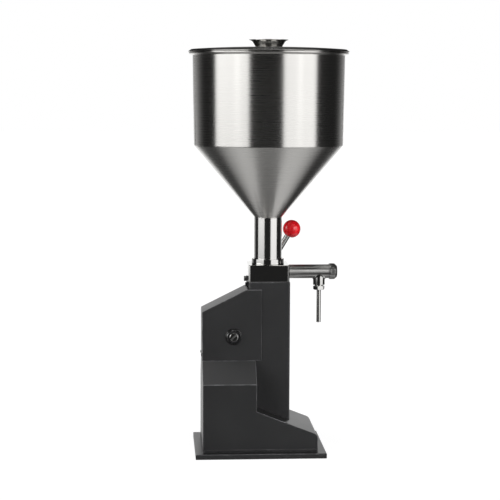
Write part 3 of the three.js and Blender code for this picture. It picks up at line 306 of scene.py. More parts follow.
def lofted(name, rings, crease=32):
    """A grid laid over rings of points, in millimetres, closed round the rings and at both ends."""
    deselect()
    around = len(rings[0])
    bpy.ops.mesh.primitive_grid_add(x_subdivisions=around, y_subdivisions=len(rings) - 1, size=1)
    piece = rename(bpy.context.object, name)
    for row, ring in enumerate(rings):
        for column in range(around + 1):
            vertex = piece.data.vertices[row * (around + 1) + column]
            vertex.co = Vector(ring[column % around]) * MM
    bpy.ops.object.mode_set(mode="EDIT")
    bpy.ops.mesh.select_all(action="SELECT")
    bpy.ops.mesh.remove_doubles(threshold=1e-6)
    bpy.ops.mesh.select_all(action="DESELECT")
    bpy.ops.mesh.select_non_manifold()
    bpy.ops.mesh.fill_holes(sides=0)
    return close_seams(piece, crease)


def block(x, y, z):
    """A plain cutter between three pairs of sides, in millimetres."""
    deselect()
    centre = Vector([sum(pair) / 2 for pair in (x, y, z)]) * MM
    bpy.ops.mesh.primitive_cube_add(size=1, location=centre)
    cutter = bpy.context.object
    cutter.scale = Vector([abs(pair[1] - pair[0]) for pair in (x, y, z)]) * MM
    bpy.ops.object.transform_apply(location=True, rotation=True, scale=True)
    return cutter


def prism(width, bottom, top, turn=30, aim=UP, place=(0, 0, 0)):
    """A six-sided cutter of a width across its flats, in millimetres."""
    deselect()
    bpy.ops.mesh.primitive_cylinder_add(
        vertices=6, radius=width / math.sqrt(3) * MM, depth=(top - bottom) * MM,
        location=(0, 0, (top + bottom) / 2 * MM), rotation=(0, 0, math.radians(turn)),
    )
    cutter = bpy.context.object
    bpy.ops.object.transform_apply(location=True, rotation=True, scale=True)
    return settle(cutter, UP.rotation_difference(aim).to_matrix(), place)


def carve(piece, cutter, operation="DIFFERENCE"):
    """Cuts a piece with another one, which is used up."""
    apply_modifier(piece, "BOOLEAN", operation=operation, object=cutter, solver="EXACT")
    bpy.data.objects.remove(cutter)
    return piece


def soften(piece, width, segments=2, angle=35, slot=-1, limit="ANGLE"):
    """Rounds the sharp or weighted edges, in another material slot if one is given."""
    apply_modifier(
        piece, "BEVEL", width=width, segments=segments, limit_method=limit,
        angle_limit=math.radians(angle), use_clamp_overlap=False, miter_outer="MITER_ARC",
        material=slot,
    )
    pick(piece)
    bpy.ops.object.shade_smooth_by_angle(angle=math.radians(40))
    return piece


def softened(name, node, width, edge=None, hem=None):
    """A copy of a CAD solid whose loose triangles are joined and whose edges are rounded.

    Edges that stay below the hem's height, in millimetres, get a fifth of the rounding.
    """
    piece = bpy.data.objects.new(name, frame["nodes"][node].data.copy())
    if edge:
        piece.data.materials.append(edge)
    bpy.context.scene.collection.objects.link(piece)
    rename(piece, name)
    pick(piece)
    bpy.ops.object.mode_set(mode="EDIT")
    bpy.ops.mesh.select_all(action="SELECT")
    bpy.ops.mesh.remove_doubles(threshold=1e-6)
    bpy.ops.mesh.dissolve_limited(angle_limit=math.radians(1))
    bpy.ops.mesh.select_mode(type="EDGE")
    bpy.ops.mesh.select_all(action="DESELECT")
    bpy.ops.mesh.edges_select_sharp(sharpness=math.radians(35))
    bpy.ops.object.mode_set(mode="OBJECT")
    points = piece.data.vertices
    weights = piece.data.attributes.new("bevel_weight_edge", "FLOAT", "EDGE").data
    for line, weight in zip(piece.data.edges, weights):
        highest = max(points[end].co.z for end in line.vertices) / MM
        weight.value = line.select * (0.2 if hem and highest < hem else 1)
    return soften(piece, width, slot=1 if edge else -1, limit="WEIGHT")


def join(piece, *others):
    pick(piece)
    for other in others:
        other.select_set(True)
    bpy.ops.object.join()
    return piece


def fit(piece, node, name):
    """Shades a piece so that its flat faces look flat, and puts it in the place of a CAD node."""
    finish = finishes()[name]
    apply_modifier(piece, "WEIGHTED_NORMAL", weight=80, keep_sharp=True)
    if piece.data.materials:
        piece.data.materials[0] = finish
    else:
        piece.data.materials.append(finish)
    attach(piece, frame["nodes"][node]["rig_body"])
    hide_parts(node)


# Shader graphs


class Value:
    """A socket that takes part in sums, so that shader maths reads as an expression."""

    def __init__(self, graph, socket):
        self.graph = graph
        self.socket = socket

    def _with(self, operation, *values):
        sockets = dict(enumerate(values))
        return self.graph.add("ShaderNodeMath", {"operation": operation}, sockets)[0]

    def __add__(self, other):
        return self._with("ADD", self, other)

    def __sub__(self, other):
        return self._with("SUBTRACT", self, other)

    def __rsub__(self, other):
        return self._with("SUBTRACT", other, self)

    def __mul__(self, other):
        return self._with("MULTIPLY", self, other)

    def __pow__(self, other):
        return self._with("POWER", self, other)

    __radd__ = __add__
    __rmul__ = __mul__

    def atan2(self, other):
        return self._with("ARCTAN2", self, other)

    def asin(self):
        return self._with("ARCSINE", self)

    def absolute(self):
        return self._with("ABSOLUTE", self)


class Node:
    """A node whose output sockets are looked up by name or number."""

    def __init__(self, graph, node):
        self.graph = graph
        self.node = node

    def __getitem__(self, key):
        return Value(self.graph, pick_socket(self.node.outputs, key))


def pick_socket(sockets, key):
    """The socket of that number, or the one in use that has that name."""
    if isinstance(key, int):
        return sockets[key]
    return next(s for s in sockets if s.name == key and s.enabled)


class Graph:
    """The nodes of one material or of the world."""

    def __init__(self, owner):
        owner.use_nodes = True
        self.tree = owner.node_tree
        self.tree.nodes.clear()

    def add(self, kind, settings=None, sockets=None):
        """Adds a node with its settings first, and then the values or links of its sockets."""
        node = self.tree.nodes.new(kind)
        for name, value in (settings or {}).items():
            if name == "stops":
                self.set_stops(node.color_ramp, value)
            else:
                setattr(node, name, value)
        for key, value in (sockets or {}).items():
            socket = pick_socket(node.inputs, key)
            if isinstance(value, Value):
                self.tree.links.new(value.socket, socket)
            else:
                socket.default_value = value
        return Node(self, node)

    @staticmethod
    def set_stops(ramp, stops):
        while len(ramp.elements) < len(stops):
            ramp.elements.new(1)
        for element, (position, level) in zip(ramp.elements, stops):
            element.position = position
            element.color = (level, level, level, 1)

    def place(self, scale=(1, 1, 1), centre=(0, 0, 0)):
        """Object coordinates about a centre, stretched."""
        coordinates = self.add("ShaderNodeTexCoord")["Object"]
        moved = self.add(
            "ShaderNodeMapping", {"vector_type": "TEXTURE"},
            {"Vector": coordinates, "Location": centre},
        )["Vector"]
        return self.add("ShaderNodeMapping", {}, {"Vector": moved, "Scale": scale})["Vector"]

    def noise(self, vector, scale, detail=2.0, rough=0.5):
        return self.add(
            "ShaderNodeTexNoise", {},
            {"Vector": vector, "Scale": scale, "Detail": detail, "Roughness": rough},
        )["Fac"]

    def stretch(self, value, low, high, start=0.0, end=1.0):
        """The value's range from low to high, spread smoothly from start to end."""
        return self.add(
            "ShaderNodeMapRange", {"interpolation_type": "SMOOTHSTEP"},
            {"Value": value, "From Min": low, "From Max": high, "To Min": start, "To Max": end},
        )["Result"]

    def blend(self, amount, first, second):
        """A mix of two colours."""
        ends = [end if isinstance(end, Value) else (*end, 1) for end in (first, second)]
        return self.add(
            "ShaderNodeMix", {"data_type": "RGBA"}, {"Factor": amount, "A": ends[0], "B": ends[1]}
        )["Result"]

    def bump(self, height, depth):
        """A surface normal from a height, which is depth metres tall."""
        sockets = {"Height": height, "Distance": depth, "Strength": 1.0}
        return self.add("ShaderNodeBump", {}, sockets)["Normal"]

    def surface(self, **sockets):
        names = {
            name.replace("_", " ").title().replace("Ior", "IOR"): value
            for name, value in sockets.items()
        }
        shader = self.add("ShaderNodeBsdfPrincipled", {}, names)
        self.add("ShaderNodeOutputMaterial", {}, {"Surface": shader["BSDF"]})


def finish(name, slot):
    """A new material and its graph; slot is the record's name for that finish."""
    material = bpy.data.materials.new(name)
    material["record_slot"] = slot
    return material, Graph(material)


def tint(rgb, factor):
    return tuple(min(1, channel * factor) for channel in rgb)


# Finishes


def powder_coat(rgb):
    """Satin black powder coat with its fine orange peel and a little dust."""
    material, graph = finish("black_powder_coat", "black_paint")
    place = graph.place()
    cloud = graph.noise(place, 11, 3)
    peel = graph.noise(place, 620, 1.5)
    dust = graph.stretch(graph.noise(place, 1900, 1), 0.70, 0.78)
    shade = graph.blend(cloud, tint(rgb, 0.86), tint(rgb, 1.18))
    graph.surface(
        base_color=graph.blend(dust * 0.35, shade, tint(rgb, 3.2)),
        roughness=0.29 + cloud * 0.08 + peel * 0.05,
        normal=graph.bump(peel + cloud * 4, 0.000016),
        specular_ior_level=0.5,
    )
    return material


def worn_highlight_coat(rgb):
    """The same coat on the folds, glossier: its colour is lifted all along them as a painted
    highlight, and greyer still in patches of wear.
    """
    material, graph = finish("worn_highlight_powder_coat", "black_paint")
    place = graph.place()
    wear = graph.stretch(graph.noise(place, 45, 4, 0.6), 0.38, 0.66)
    graph.surface(
        # Painted highlight: the folds' colour is 2.4 to 5.5 times the coat's, lighter everywhere
        # along them and most in the wear patches.
        base_color=graph.blend(wear, tint(rgb, 2.4), tint(rgb, 5.5)),
        roughness=0.30 + wear * 0.08,
        normal=graph.bump(wear, 0.000006),
    )
    return material


def gloss_black(rgb):
    """Black enamel of the turned bosses, smoother than the powder coat."""
    material, graph = finish("black_enamel", "black_paint")
    flow = graph.noise(graph.place(), 90, 3)
    graph.surface(
        base_color=graph.blend(flow, tint(rgb, 0.45), tint(rgb, 0.7)),
        specular_ior_level=1.0,
        roughness=0.17 + flow * 0.08,
        normal=graph.bump(flow, 0.00001),
    )
    return material


def brushed_steel(rgb):
    """Sheet steel brushed round the hopper: fine lines round it, with a soft upright sheen."""
    material, graph = finish("brushed_sheet", "brushed_steel")
    at = graph.add("ShaderNodeSeparateXYZ", {}, {"Vector": graph.place()})
    out = (at["X"] * at["X"] + at["Y"] * at["Y"]) ** 0.5
    rings = {"X": at["X"] * 5, "Y": at["Y"] * 5, "Z": (at["Z"] + out) * 2600}
    streak = graph.noise(graph.add("ShaderNodeCombineXYZ", {}, rings)["Vector"], 1, 4, 0.65)
    cloud = graph.noise(graph.place(), 7, 2)
    graph.surface(
        base_color=graph.blend(graph.stretch(streak, 0.3, 0.7), tint(rgb, 0.97), tint(rgb, 1.03)),
        metallic=1.0,
        roughness=0.24 + streak * 0.03 + cloud * 0.04,
        anisotropic=0.92,
        anisotropic_rotation=0.25,
        normal=graph.bump(streak, 0.0000008),
    )
    return material


def polished_steel(rgb):
    """Mirror polish with faint buffing haze."""
    material, graph = finish("mirror_steel", "polished_steel")
    haze = graph.noise(graph.place(), 24, 4, 0.6)
    buffing = graph.noise(graph.place((90, 90, 900)), 1, 2)
    graph.surface(
        base_color=graph.blend(haze, tint(rgb, 0.95), tint(rgb, 1.04)),
        metallic=1.0,
        roughness=0.055 + haze * 0.07 + buffing * 0.03,
        normal=graph.bump(haze * 3 + buffing * 0.2, 0.000006),
    )
    return material


def satin_tube(rgb):
    """Sanitary tube as it is drawn: nearly a mirror round it, softer along it."""
    material, graph = finish("satin_tube", "polished_steel")
    draw = graph.noise(graph.place((700, 700, 6)), 1, 3)
    haze = graph.noise(graph.place(), 18, 3)
    graph.surface(
        base_color=graph.blend(draw, tint(rgb, 0.94), tint(rgb, 1.04)),
        metallic=1.0,
        roughness=0.11 + haze * 0.06,
        normal=graph.bump(draw, 0.000003),
    )
    return material


def outlet_steel(rgb):
    """Outlet tube polished round its girth, so that light spreads along it."""
    material, graph = finish("polished_round", "polished_steel")
    marks = graph.noise(graph.place((1600, 8, 8)), 1, 3)
    haze = graph.noise(graph.place(), 30, 3)
    graph.surface(
        base_color=graph.blend(haze, tint(rgb, 0.76), tint(rgb, 0.84)),
        metallic=1.0,
        roughness=0.33 + haze * 0.08,
        anisotropic=0.97,
        normal=graph.bump(marks, 0.000002),
    )
    return material


def machined_steel(rgb):
    """Turned steel with fine tool marks."""
    material, graph = finish("turned_steel", "machined_steel")
    marks = graph.noise(graph.place((1500, 1500, 1500)), 1, 2)
    cloud = graph.noise(graph.place(), 60, 2)
    graph.surface(
        base_color=graph.blend(cloud, tint(rgb, 0.9), tint(rgb, 1.08)),
        metallic=1.0,
        roughness=0.26 + marks * 0.12,
        normal=graph.bump(marks, 0.000004),
    )
    return material


def dark_steel(rgb):
    """Blackened steel, a little paler where it is rubbed."""
    material, graph = finish("blackened_steel", "dark_steel")
    cloud = graph.noise(graph.place(), 160, 4, 0.6)
    rub = graph.stretch(cloud, 0.52, 0.74)
    graph.surface(
        base_color=graph.blend(rub, tint(rgb, 0.7), tint(rgb, 1.9)),
        metallic=0.9,
        roughness=0.38 + cloud * 0.14,
        normal=graph.bump(cloud, 0.00001),
    )
    return material


def bearing_bronze(rgb):
    """Sintered bronze with open pores."""
    material, graph = finish("bearing_bronze", "bronze")
    grain = graph.noise(graph.place(), 1400, 2)
    pores = graph.stretch(grain, 0.30, 0.42)
    graph.surface(
        base_color=graph.blend(pores, tint(rgb, 0.45), rgb),
        metallic=1.0,
        roughness=0.50 - pores * 0.14,
        normal=graph.bump(pores, 0.00001),
    )
    return material


def ball_plastic(rgb):
    """Glossy red thermoset, with a hint of flow in the colour."""
    material, graph = finish("ball_plastic", "red_plastic")
    flow = graph.noise(graph.place(), 45, 3)
    graph.surface(
        base_color=graph.blend(flow, tint(rgb, 0.97), tint(rgb, 1.03)),
        roughness=0.30 + flow * 0.04,
        specular_ior_level=0.2,
        coat_weight=graph.stretch(flow, 0, 1, 0.92, 1.0),
        coat_roughness=0.15,
        normal=graph.bump(flow, 0.000003),
    )
    return material


def soft_rubber(name, slot, rgb, level):
    """A moulded elastomer with a matt skin."""
    material, graph = finish(name, slot)
    skin = graph.noise(graph.place(), 900, 2)
    graph.surface(
        base_color=graph.blend(skin, tint(rgb, 0.92), tint(rgb, 1.06)),
        roughness=level + skin * 0.12,
        normal=graph.bump(skin, 0.00001),
    )
    return material


def finishes():
    """All finishes by name, made once."""
    if "black_powder_coat" not in bpy.data.materials:
        colours = bpy.context.scene.filler_finishes
        powder_coat(colours.paint)
        worn_highlight_coat(colours.paint)
        gloss_black(colours.paint)
        brushed_steel(colours.brushed)
        polished_steel(colours.polished)
        satin_tube(colours.polished)
        outlet_steel(colours.polished)
        machined_steel(colours.machined)
        dark_steel(colours.oxide)
        bearing_bronze(colours.bronze)
        ball_plastic(colours.ball)
        soft_rubber("pale_silicone", "silicone", colours.silicone, 0.45)
        soft_rubber("black_seal", "seal_rubber", colours.rubber, 0.55)
    return bpy.data.materials


# Screws


def screw_seat(node, aim, head):
    """Where the head of a CAD screw rests, its radius, and the screw's reach below it."""
    low, high = corners(node)
    size = high - low
    along = max(range(3), key=lambda axis: abs(aim[axis]))
    radius = max(size[axis] for axis in range(3) if axis != along) / 2
    seat = (low + high) / 2
    seat[along] = (high if aim[along] > 0 else low)[along] - aim[along] * head
    return seat, radius, size[along] - head


def pan_screw(node, aim, slot_width):
    """A low domed screw with a slot, in the place of the CAD one."""
    kinds = {"hem": (0.9, 1.5), "hood": (1.5, 1.7), "column": (1.6, 2.5)}
    head, shank = kinds[node.split("_")[0]]
    seat, radius, reach = screw_seat(node, aim, head)
    profile = [(0, -reach), (shank, -reach), (shank, 0), (radius * 0.96, 0)]
    last = 6
    for step in range(last + 1):
        angle = math.radians(90 * step / last)
        profile.append((
            radius * math.cos(angle) ** 0.8 if step < last else 0,
            head * (0.2 + 0.8 * math.sin(angle)),
        ))
    screw = turned(node + "_head", profile, 32, UP)
    half = slot_width / MM / 2
    carve(screw, block((-9, 9), (-half, half), (head * 0.42, head + 1)))
    return settle(screw, UP.rotation_difference(aim).to_matrix(), seat)


def socket_screw(node, aim, head, shank):
    """A socket head screw with a rounded rim, in the place of the CAD one."""
    seat, radius, reach = screw_seat(node, aim, head)
    profile = rounded(
        [(0, -reach), (shank, -reach), (shank, 0), (radius, 0), (radius, head), (0, head)],
        [0, 0, 0, 0.15, min(0.5, head * 0.2), 0],
    )
    screw = turned(node + "_head", profile, 48, UP)
    carve(screw, prism(shank * 1.7, head * 0.4, head + 1))
    return settle(screw, UP.rotation_difference(aim).to_matrix(), seat)


# Operators: one for each piece or group of like pieces, and one for the stage


class FILLER_OT_stand(bpy.types.Operator):
    """Rounds the folds and edges of the plate, casing, hood and column, and coats them"""

    bl_idname = "filler.stand"
    bl_label = "Stand"

    def execute(self, context):
        sizes = context.scene.filler_stand
        # The folds take the coat with the painted highlight and the wear patches.
        coat, worn_highlight_edges = "black_powder_coat", finishes()["worn_highlight_powder_coat"]
        plate = softened("base_plate_deck", "base_plate", sizes.plate_edge, worn_highlight_edges)
        fit(plate, "base_plate", coat)
        for node in ("lower_casing", "rear_hood", "column"):
            fit(softened(node + "_sheet", node, sizes.fold, worn_highlight_edges, hem=15), node, coat)
        return {"FINISHED"}


class FILLER_OT_bosses(bpy.types.Operator):
    """Turns the two bosses and bushes that carry the lever's shaft"""

    bl_idname = "filler.bosses"
    bl_label = "Bosses and bushes"

    def execute(self, context):
        edge = context.scene.filler_stand.boss_edge / MM
        for side, aim in (("near", NEAR), ("far", FAR)):
            low, high = corners(side + "_boss")
            centre = (low + high) / 2
            centre.y = low.y if aim.y > 0 else high.y
            flange = rounded(
                [
                    (11.3, 0), (15.3, 0), (15.3, 2.2), (12.9, 2.2), (12.9, 5.3 - edge),
                    (12.9 - edge, 5.3), (11.3, 5.3),
                ],
                [0, 0, 0.8, 0.5, 0.2, 0.1, 0.1],
            )
            boss = turned(side + "_boss_ring", flange, 72, aim, centre)
            fit(boss, side + "_boss", "black_enamel")
            sleeve = rounded(
                [
                    (SHAFT_BORE, -3.5), (14, -3.5), (14, -2), (11, -2), (11, 3.5),
                    (SHAFT_BORE, 3.5),
                ],
                [0, 0.2, 0, 0, 0.35, 0.35],
            )
            bush = turned(side + "_bush_sleeve", sleeve, 72, aim, centre)
            fit(bush, side + "_bush", "blackened_steel")
        return {"FINISHED"}


class FILLER_OT_sheet_screws(bpy.types.Operator):
    """Slotted pan screws of the hem, the hood and the column"""

    bl_idname = "filler.sheet_screws"
    bl_label = "Sheet screws"

    def execute(self, context):
        width = context.scene.filler_stand.screw_slot
        places = {
            "hem_screw_near": NEAR, "hem_screw_far": FAR, "hood_screw_1": REAR,
            "hood_screw_2": REAR, "column_screw": FRONT,
        }
        for node, aim in places.items():
            fit(pan_screw(node, aim, width), node, "blackened_steel")
        return {"FINISHED"}


class FILLER_OT_clamp(bpy.types.Operator):
    """Clamp lug behind the block, with its bright and its dark screw"""

    bl_idname = "filler.clamp"
    bl_label = "Clamp lug"

    def execute(self, context):
        steel = "blackened_steel"
        fit(softened("clamp_lug_strap", "clamp_lug", 0.0003), "clamp_lug", steel)
        fit(socket_screw("lug_screw", REAR, 2.1, 2), "lug_screw", steel)
        fit(socket_screw("block_clamp_screw", REAR, 4.7, 2), "block_clamp_screw", "turned_steel")
        return {"FINISHED"}


class FILLER_OT_block(bpy.types.Operator):
    """Mirror-polished valve block with eased edges"""

    bl_idname = "filler.block"
    bl_label = "Valve block"

    def execute(self, context):
        edge = context.scene.filler_outlet.block_edge
        body = softened("valve_block_body", "valve_block", edge)
        fit(body, "valve_block", "mirror_steel")
        return {"FINISHED"}


class FILLER_OT_outlet(bpy.types.Operator):
    """Outlet tube with the branch that is welded below it"""

    bl_idname = "filler.outlet"
    bl_label = "Outlet tube"

    def execute(self, context):
        sizes = context.scene.filler_outlet
        low, high = corners("outlet_tube")
        level = high.z - OUTLET_RADIUS
        inner, deep, branch_at = 10.5, high.x - low.x, 95
        pipe = rounded(wall(inner, OUTLET_RADIUS, 0, deep), [0.3, 0.3, 0.4, 0.3])
        tube = turned("outlet_tube_pipe", pipe, sizes.flats, FRONT, (low.x, 0, level))
        stub = self.branch(sizes, Vector((branch_at, 0, level)), level - low.z)
        tube.data.materials.append(finishes()["polished_round"])
        stub.data.materials.append(finishes()["mirror_steel"])
        fit(join(tube, stub), "outlet_tube", "polished_round")
        return {"FINISHED"}

    @staticmethod
    def branch(sizes, top, drop):
        """A stub whose root runs out into the tube's wall in a smooth fillet."""
        tube, stub, reach = OUTLET_RADIUS, 11.15, sizes.weld / MM
        angles = [math.tau * i / sizes.flats for i in range(sizes.flats)]
        straight = [(7.4, 0), (7.4, 5), (10.4, 5), (10.9, 5.2), (stub, 5.7)]
        rings = [
            [
                top + Vector((radius * math.cos(a), radius * math.sin(a), height - drop))
                for a in angles
            ]
            for radius, height in straight
        ]
        steps = 8
        for step in range(steps + 1):
            t = step / steps
            ring = []
            for a in angles:
                lean = math.asin(stub * math.sin(a) / tube)
                crossing = Vector((stub * math.cos(a), stub * math.sin(a), -tube * math.cos(lean)))
                below = crossing - Vector((0, 0, reach))
                out = lean + reach / tube * math.sin(a)
                away = Vector((
                    crossing.x + reach * math.cos(a), tube * math.sin(out), -tube * math.cos(out),
                ))
                ring.append(
                    top + below * (1 - t) ** 2 + crossing * 2 * t * (1 - t) + away * t ** 2
                )
            rings.append(ring)
        sunk = 0.93
        rings.append([
            top + Vector((p.x - top.x, (p.y - top.y) * sunk, (p.z - top.z) * sunk))
            for p in rings[-1]
        ])
        return lofted("branch_stub", rings, 40)


class FILLER_OT_end_cap(bpy.types.Operator):
    """Domed cap with six flats on the outlet tube's end"""

    bl_idname = "filler.end_cap"
    bl_label = "End cap"

    def execute(self, context):
        low, high = corners("end_cap")
        level = (low.z + high.z) / 2
        flats = context.scene.filler_outlet.flats
        deep = high.x - low.x
        place = (low.x, 0, level)
        radius, ring, across_flats = 14.7, 3.8, 27.2
        crown = rounded(
            [(0, 0), (radius, 0), (radius, deep - 4.8), (10.3, deep), (0, deep)],
            [0, 0.4, 3.0, 1.6, 0], 8,
        )
        cap = turned("end_cap_crown", crown, flats, FRONT, place)
        carve(cap, prism(across_flats, ring, deep + 1, 30, FRONT, place), "INTERSECT")
        collar = rounded(wall(0, radius, 0, ring), [0, 0, 0.4, 0])
        carve(cap, turned("collar", collar, flats, FRONT, place), "UNION")
        well = [(5, -1), (16, -1), (16, 0.8), (13, 0.8), (13, 7.4), (5, 7.4)]
        carve(cap, turned("well", well, flats, FRONT, place))
        carve(cap, turned("guide", wall(0, 2.8, -1, 12.5), 32, FRONT, place))
        soften(cap, 0.0003, 2, 25)
        fit(cap, "end_cap", "turned_steel")
        return {"FINISHED"}


class FILLER_OT_nozzle(bpy.types.Operator):
    """Nozzle nut and the thin tube that fills the bottle"""

    bl_idname = "filler.nozzle"
    bl_label = "Nozzle"

    def execute(self, context):
        flats = context.scene.filler_outlet.flats
        low, high = corners("nozzle_nut")
        place = ((low.x + high.x) / 2, 0, low.z)
        tall, across_flats, turn = high.z - low.z, 19, 30 + 13
        corner = across_flats / math.sqrt(3)
        eased = [
            (0, 0), (corner - 1.6, 0), (corner, 0.9), (corner, tall - 0.9), (corner - 1.6, tall),
            (0, tall),
        ]
        nut = turned("nozzle_nut_hex", eased, flats, UP, place)
        carve(nut, prism(across_flats, -1, tall + 1, turn, UP, place), "INTERSECT")
        bore = [(0, -1), (4.4, -1), (4.4, 1.8), (7.7, 1.8), (7.7, 9), (0, 9)]
        carve(nut, turned("bore", bore, flats, UP, place))
        fit(soften(nut, 0.00025, 2, 25), "nozzle_nut", "mirror_steel")
        low, high = corners("nozzle_tube")
        tall = high.z - low.z
        tube = rounded(
            [(2.9, 0), (4.1, 0), (4.1, tall - 1), (6.8, tall - 1), (6.8, tall), (2.9, tall)],
            [0.2, 0.3, 0.2, 0.2, 0.2, 0.2],
        )
        piece = turned("nozzle_pipe", tube, flats, UP, (place[0], 0, low.z))
        fit(piece, "nozzle_tube", "mirror_steel")
        return {"FINISHED"}


class FILLER_OT_hopper(bpy.types.Operator):
    """Hopper drum and cone with the rolled rim, its neck tube and the neck's socket"""

    bl_idname = "filler.hopper"
    bl_label = "Hopper"

    def execute(self, context):
        sizes = context.scene.filler_hopper
        sheet, bead = sizes.wall / MM, sizes.bead / MM
        shoulder = sizes.shoulder / MM
        low, high = corners("hopper")
        foot, top, rim = low.z, high.z, high.x
        radius, cone_height = 136.7, 133.3
        drum = foot + cone_height
        profile = rounded(
            [
                (NECK_RADIUS, foot), (NECK_RADIUS, foot + 1.5), (radius, drum), (138.4, top - 5.2),
                (rim, top - 3.9), (rim, top), (137.2, top), (radius - sheet, drum + 0.44),
                (NECK_RADIUS - sheet, foot + 1.94), (NECK_RADIUS - sheet, foot),
            ],
            [0, 0.6, shoulder, 1.5, bead, bead, 0.4, shoulder - sheet, 0.6, 0],
            8,
        )
        hopper = turned("hopper_shell", profile, sizes.flats)
        fit(hopper, "hopper", "brushed_sheet")
        low, high = corners("hopper_neck")
        tube = wall(NECK_RADIUS - 1.5, NECK_RADIUS, low.z, high.z)
        neck = turned("hopper_neck_tube", rounded(tube, [0.3, 0.3, 0.2, 0.2]), 96)
        fit(neck, "hopper_neck", "satin_tube")
        low, high = corners("neck_socket")
        socket = rounded(
            [
                (23, low.z), (30, low.z), (30, high.z), (25.8, high.z), (25.8, low.z + 2.5),
                (23, low.z + 2.5),
            ],
            [0.2, 0.5, 0.9, 0.3, 0.2, 0.2],
        )
        ring = turned("neck_socket_ring", socket, 96)
        fit(ring, "neck_socket", "mirror_steel")
        return {"FINISHED"}


class FILLER_OT_lid(bpy.types.Operator):
    """Lid with its sloped edge, and the flared knob on it"""

    bl_idname = "filler.lid"
    bl_label = "Lid and knob"

    def execute(self, context):
        sizes = context.scene.filler_hopper
        low, high = corners("lid")
        slope, sheet = sizes.lid_slope / MM, sizes.lid_sheet / MM
        peak, shelf, rim = high.z - 2, high.z - 6.1, high.x
        dome, inner = peak - shelf, rim - slope
        flat, last = 24, 14

        def arch(step, drop=0):
            """A point of the dome, from its flat middle out to the slope."""
            return flat + (inner - flat) * step / last, peak - drop - dome * (step / last) ** 2

        top = [(STUD_BORE, peak), (flat, peak)] + [arch(step) for step in range(1, last + 1)]
        edge = [
            (rim - 0.35, shelf - 3.5), (rim - 0.08, shelf - 3.75), (rim, shelf - 4.05),
            (rim, shelf - 4.4), (rim - 0.2, shelf - 4.5), (rim - 1.2, shelf - 4.5),
            (rim - 1.4, shelf - 4.3),
        ]
        under = [
            (inner - 0.6, shelf - sheet), (136.4, shelf - sheet), (136.4, low.z + 0.4),
            (136.0, low.z), (135.5, low.z), (135.1, low.z + 0.4), (135.1, shelf - sheet),
        ]
        under += [arch(step, sheet) for step in range(last - 1, 0, -1)]
        under += [(flat, peak - sheet), (STUD_BORE, peak - sheet)]
        lid = turned("lid_dome", top + edge + under, sizes.flats)
        fit(lid, "lid", "brushed_sheet")
        low, high = corners("lid_knob")
        foot, crown = low.z - 2, high.z
        flare = [
            (curve(29, 30.6, 35.5, t / 8), curve(crown - 4.6, crown - 1.7, crown - 0.9, t / 8))
            for t in range(9)
        ]
        dish = [
            (35.9, crown - 0.5), (35.8, crown - 0.1), (35.4, crown), (33.6, crown),
            (31.2, crown - 0.5), (28.6, crown - 1.6), (26.2, crown - 2.8), (23.8, crown - 3.3),
            (20, crown - 3.4), (0, crown - 3.4), (0, crown - 4.8), (STUD_BORE, crown - 4.8),
        ]
        stem = [(STUD_BORE, foot), (23.4, foot), (23.8, foot + 0.5)]
        knob = turned("lid_knob_cup", stem + flare + dish, 128)
        fit(knob, "lid_knob", "mirror_steel")
        return {"FINISHED"}


class FILLER_OT_lever(bpy.types.Operator):
    """Lever shaft, hub, rod and ball"""

    bl_idname = "filler.lever"
    bl_label = "Lever"

    def execute(self, context):
        low, high = corners("lever_hub")
        pivot = (low + high) / 2
        angle = math.radians(59.2)
        along = Vector((math.cos(angle), 0, math.sin(angle)))
        near, far = corners("lever_shaft")
        shaft = rounded(wall(0, 8, 0, far.y - near.y), [0, 1.3, 0.8, 0], 4)
        bar = turned("lever_shaft_bar", shaft, 64, FAR, (pivot.x, near.y, pivot.z))
        slot = block((-9, 9), (-2, 1.6), (-1.5, 1.5))
        settle(slot, Euler((0, math.radians(-40), 0)).to_matrix(), (pivot.x, near.y, pivot.z))
        carve(bar, slot)
        bar.data.materials.append(finishes()["mirror_steel"])
        bar.data.materials.append(finishes()["turned_steel"])
        for face in bar.data.polygons:
            if face.normal.y < -0.9 and face.center.y > near.y * MM + 0.001:
                face.material_index = 1
        soften(bar, 0.0002, 2, 50)
        fit(bar, "lever_shaft", "mirror_steel")
        deep = high.y - low.y
        drum = rounded(wall(SHAFT_BORE, 17, 0, deep), [0.5, 1.4, 1.4, 0.5])
        hub = turned("lever_hub_drum", drum, 72, FAR, (pivot.x, low.y, pivot.z))
        carve(hub, turned("hole", wall(0, 3.3, 0, 20), 32, -along, pivot))
        fit(hub, "lever_hub", "black_powder_coat")
        stick = rounded(wall(0, 5.3, 9.6, 214.2), [0, 0.3, 0.3, 0])
        rod = turned("lever_rod_bar", stick, 48, along, pivot)
        fit(rod, "lever_rod", "mirror_steel")
        ball_reach = 221
        globe = self.ball(pivot + along * ball_reach, along)
        fit(globe, "ball_knob", "ball_plastic")
        cup = rounded(wall(0, 3, 8.3, 16.3), [0, 0, 0.4, 0])
        grub = turned("hub_grub_screw_cup", cup, 32, -along, pivot)
        carve(grub, prism(3, 12.3, 17.3, 30, -along, pivot))
        fit(grub, "hub_grub_screw", "blackened_steel")
        low, high = corners("thrust_washer")
        thick = high.y - low.y
        ring = rounded(wall(SHAFT_BORE, 13.5, 0, thick), [0.2] * 4)
        washer = turned("thrust_washer_ring", ring, 64, FAR, (pivot.x, low.y, pivot.z))
        fit(washer, "thrust_washer", "turned_steel")
        return {"FINISHED"}

    @staticmethod
    def ball(centre, along):
        """A ball with a round mouth that takes the rod's end."""
        radius, mouth = 16.75, 7.5
        start = math.asin(mouth / radius)
        profile = [(0, -6.4), (5.6, -6.4), (5.6, -radius * math.cos(start) + 0.3)]
        profile += [(5.9, -radius * math.cos(start)), (mouth - 0.3, -radius * math.cos(start))]
        steps = 30
        for step in range(1, steps + 1):
            a = start + (math.pi - start) * step / steps
            profile.append((max(0, radius * math.sin(a)), -radius * math.cos(a)))
        profile[-1] = (0, radius)
        return turned("ball_knob_globe", profile, 64, along, centre, 40)


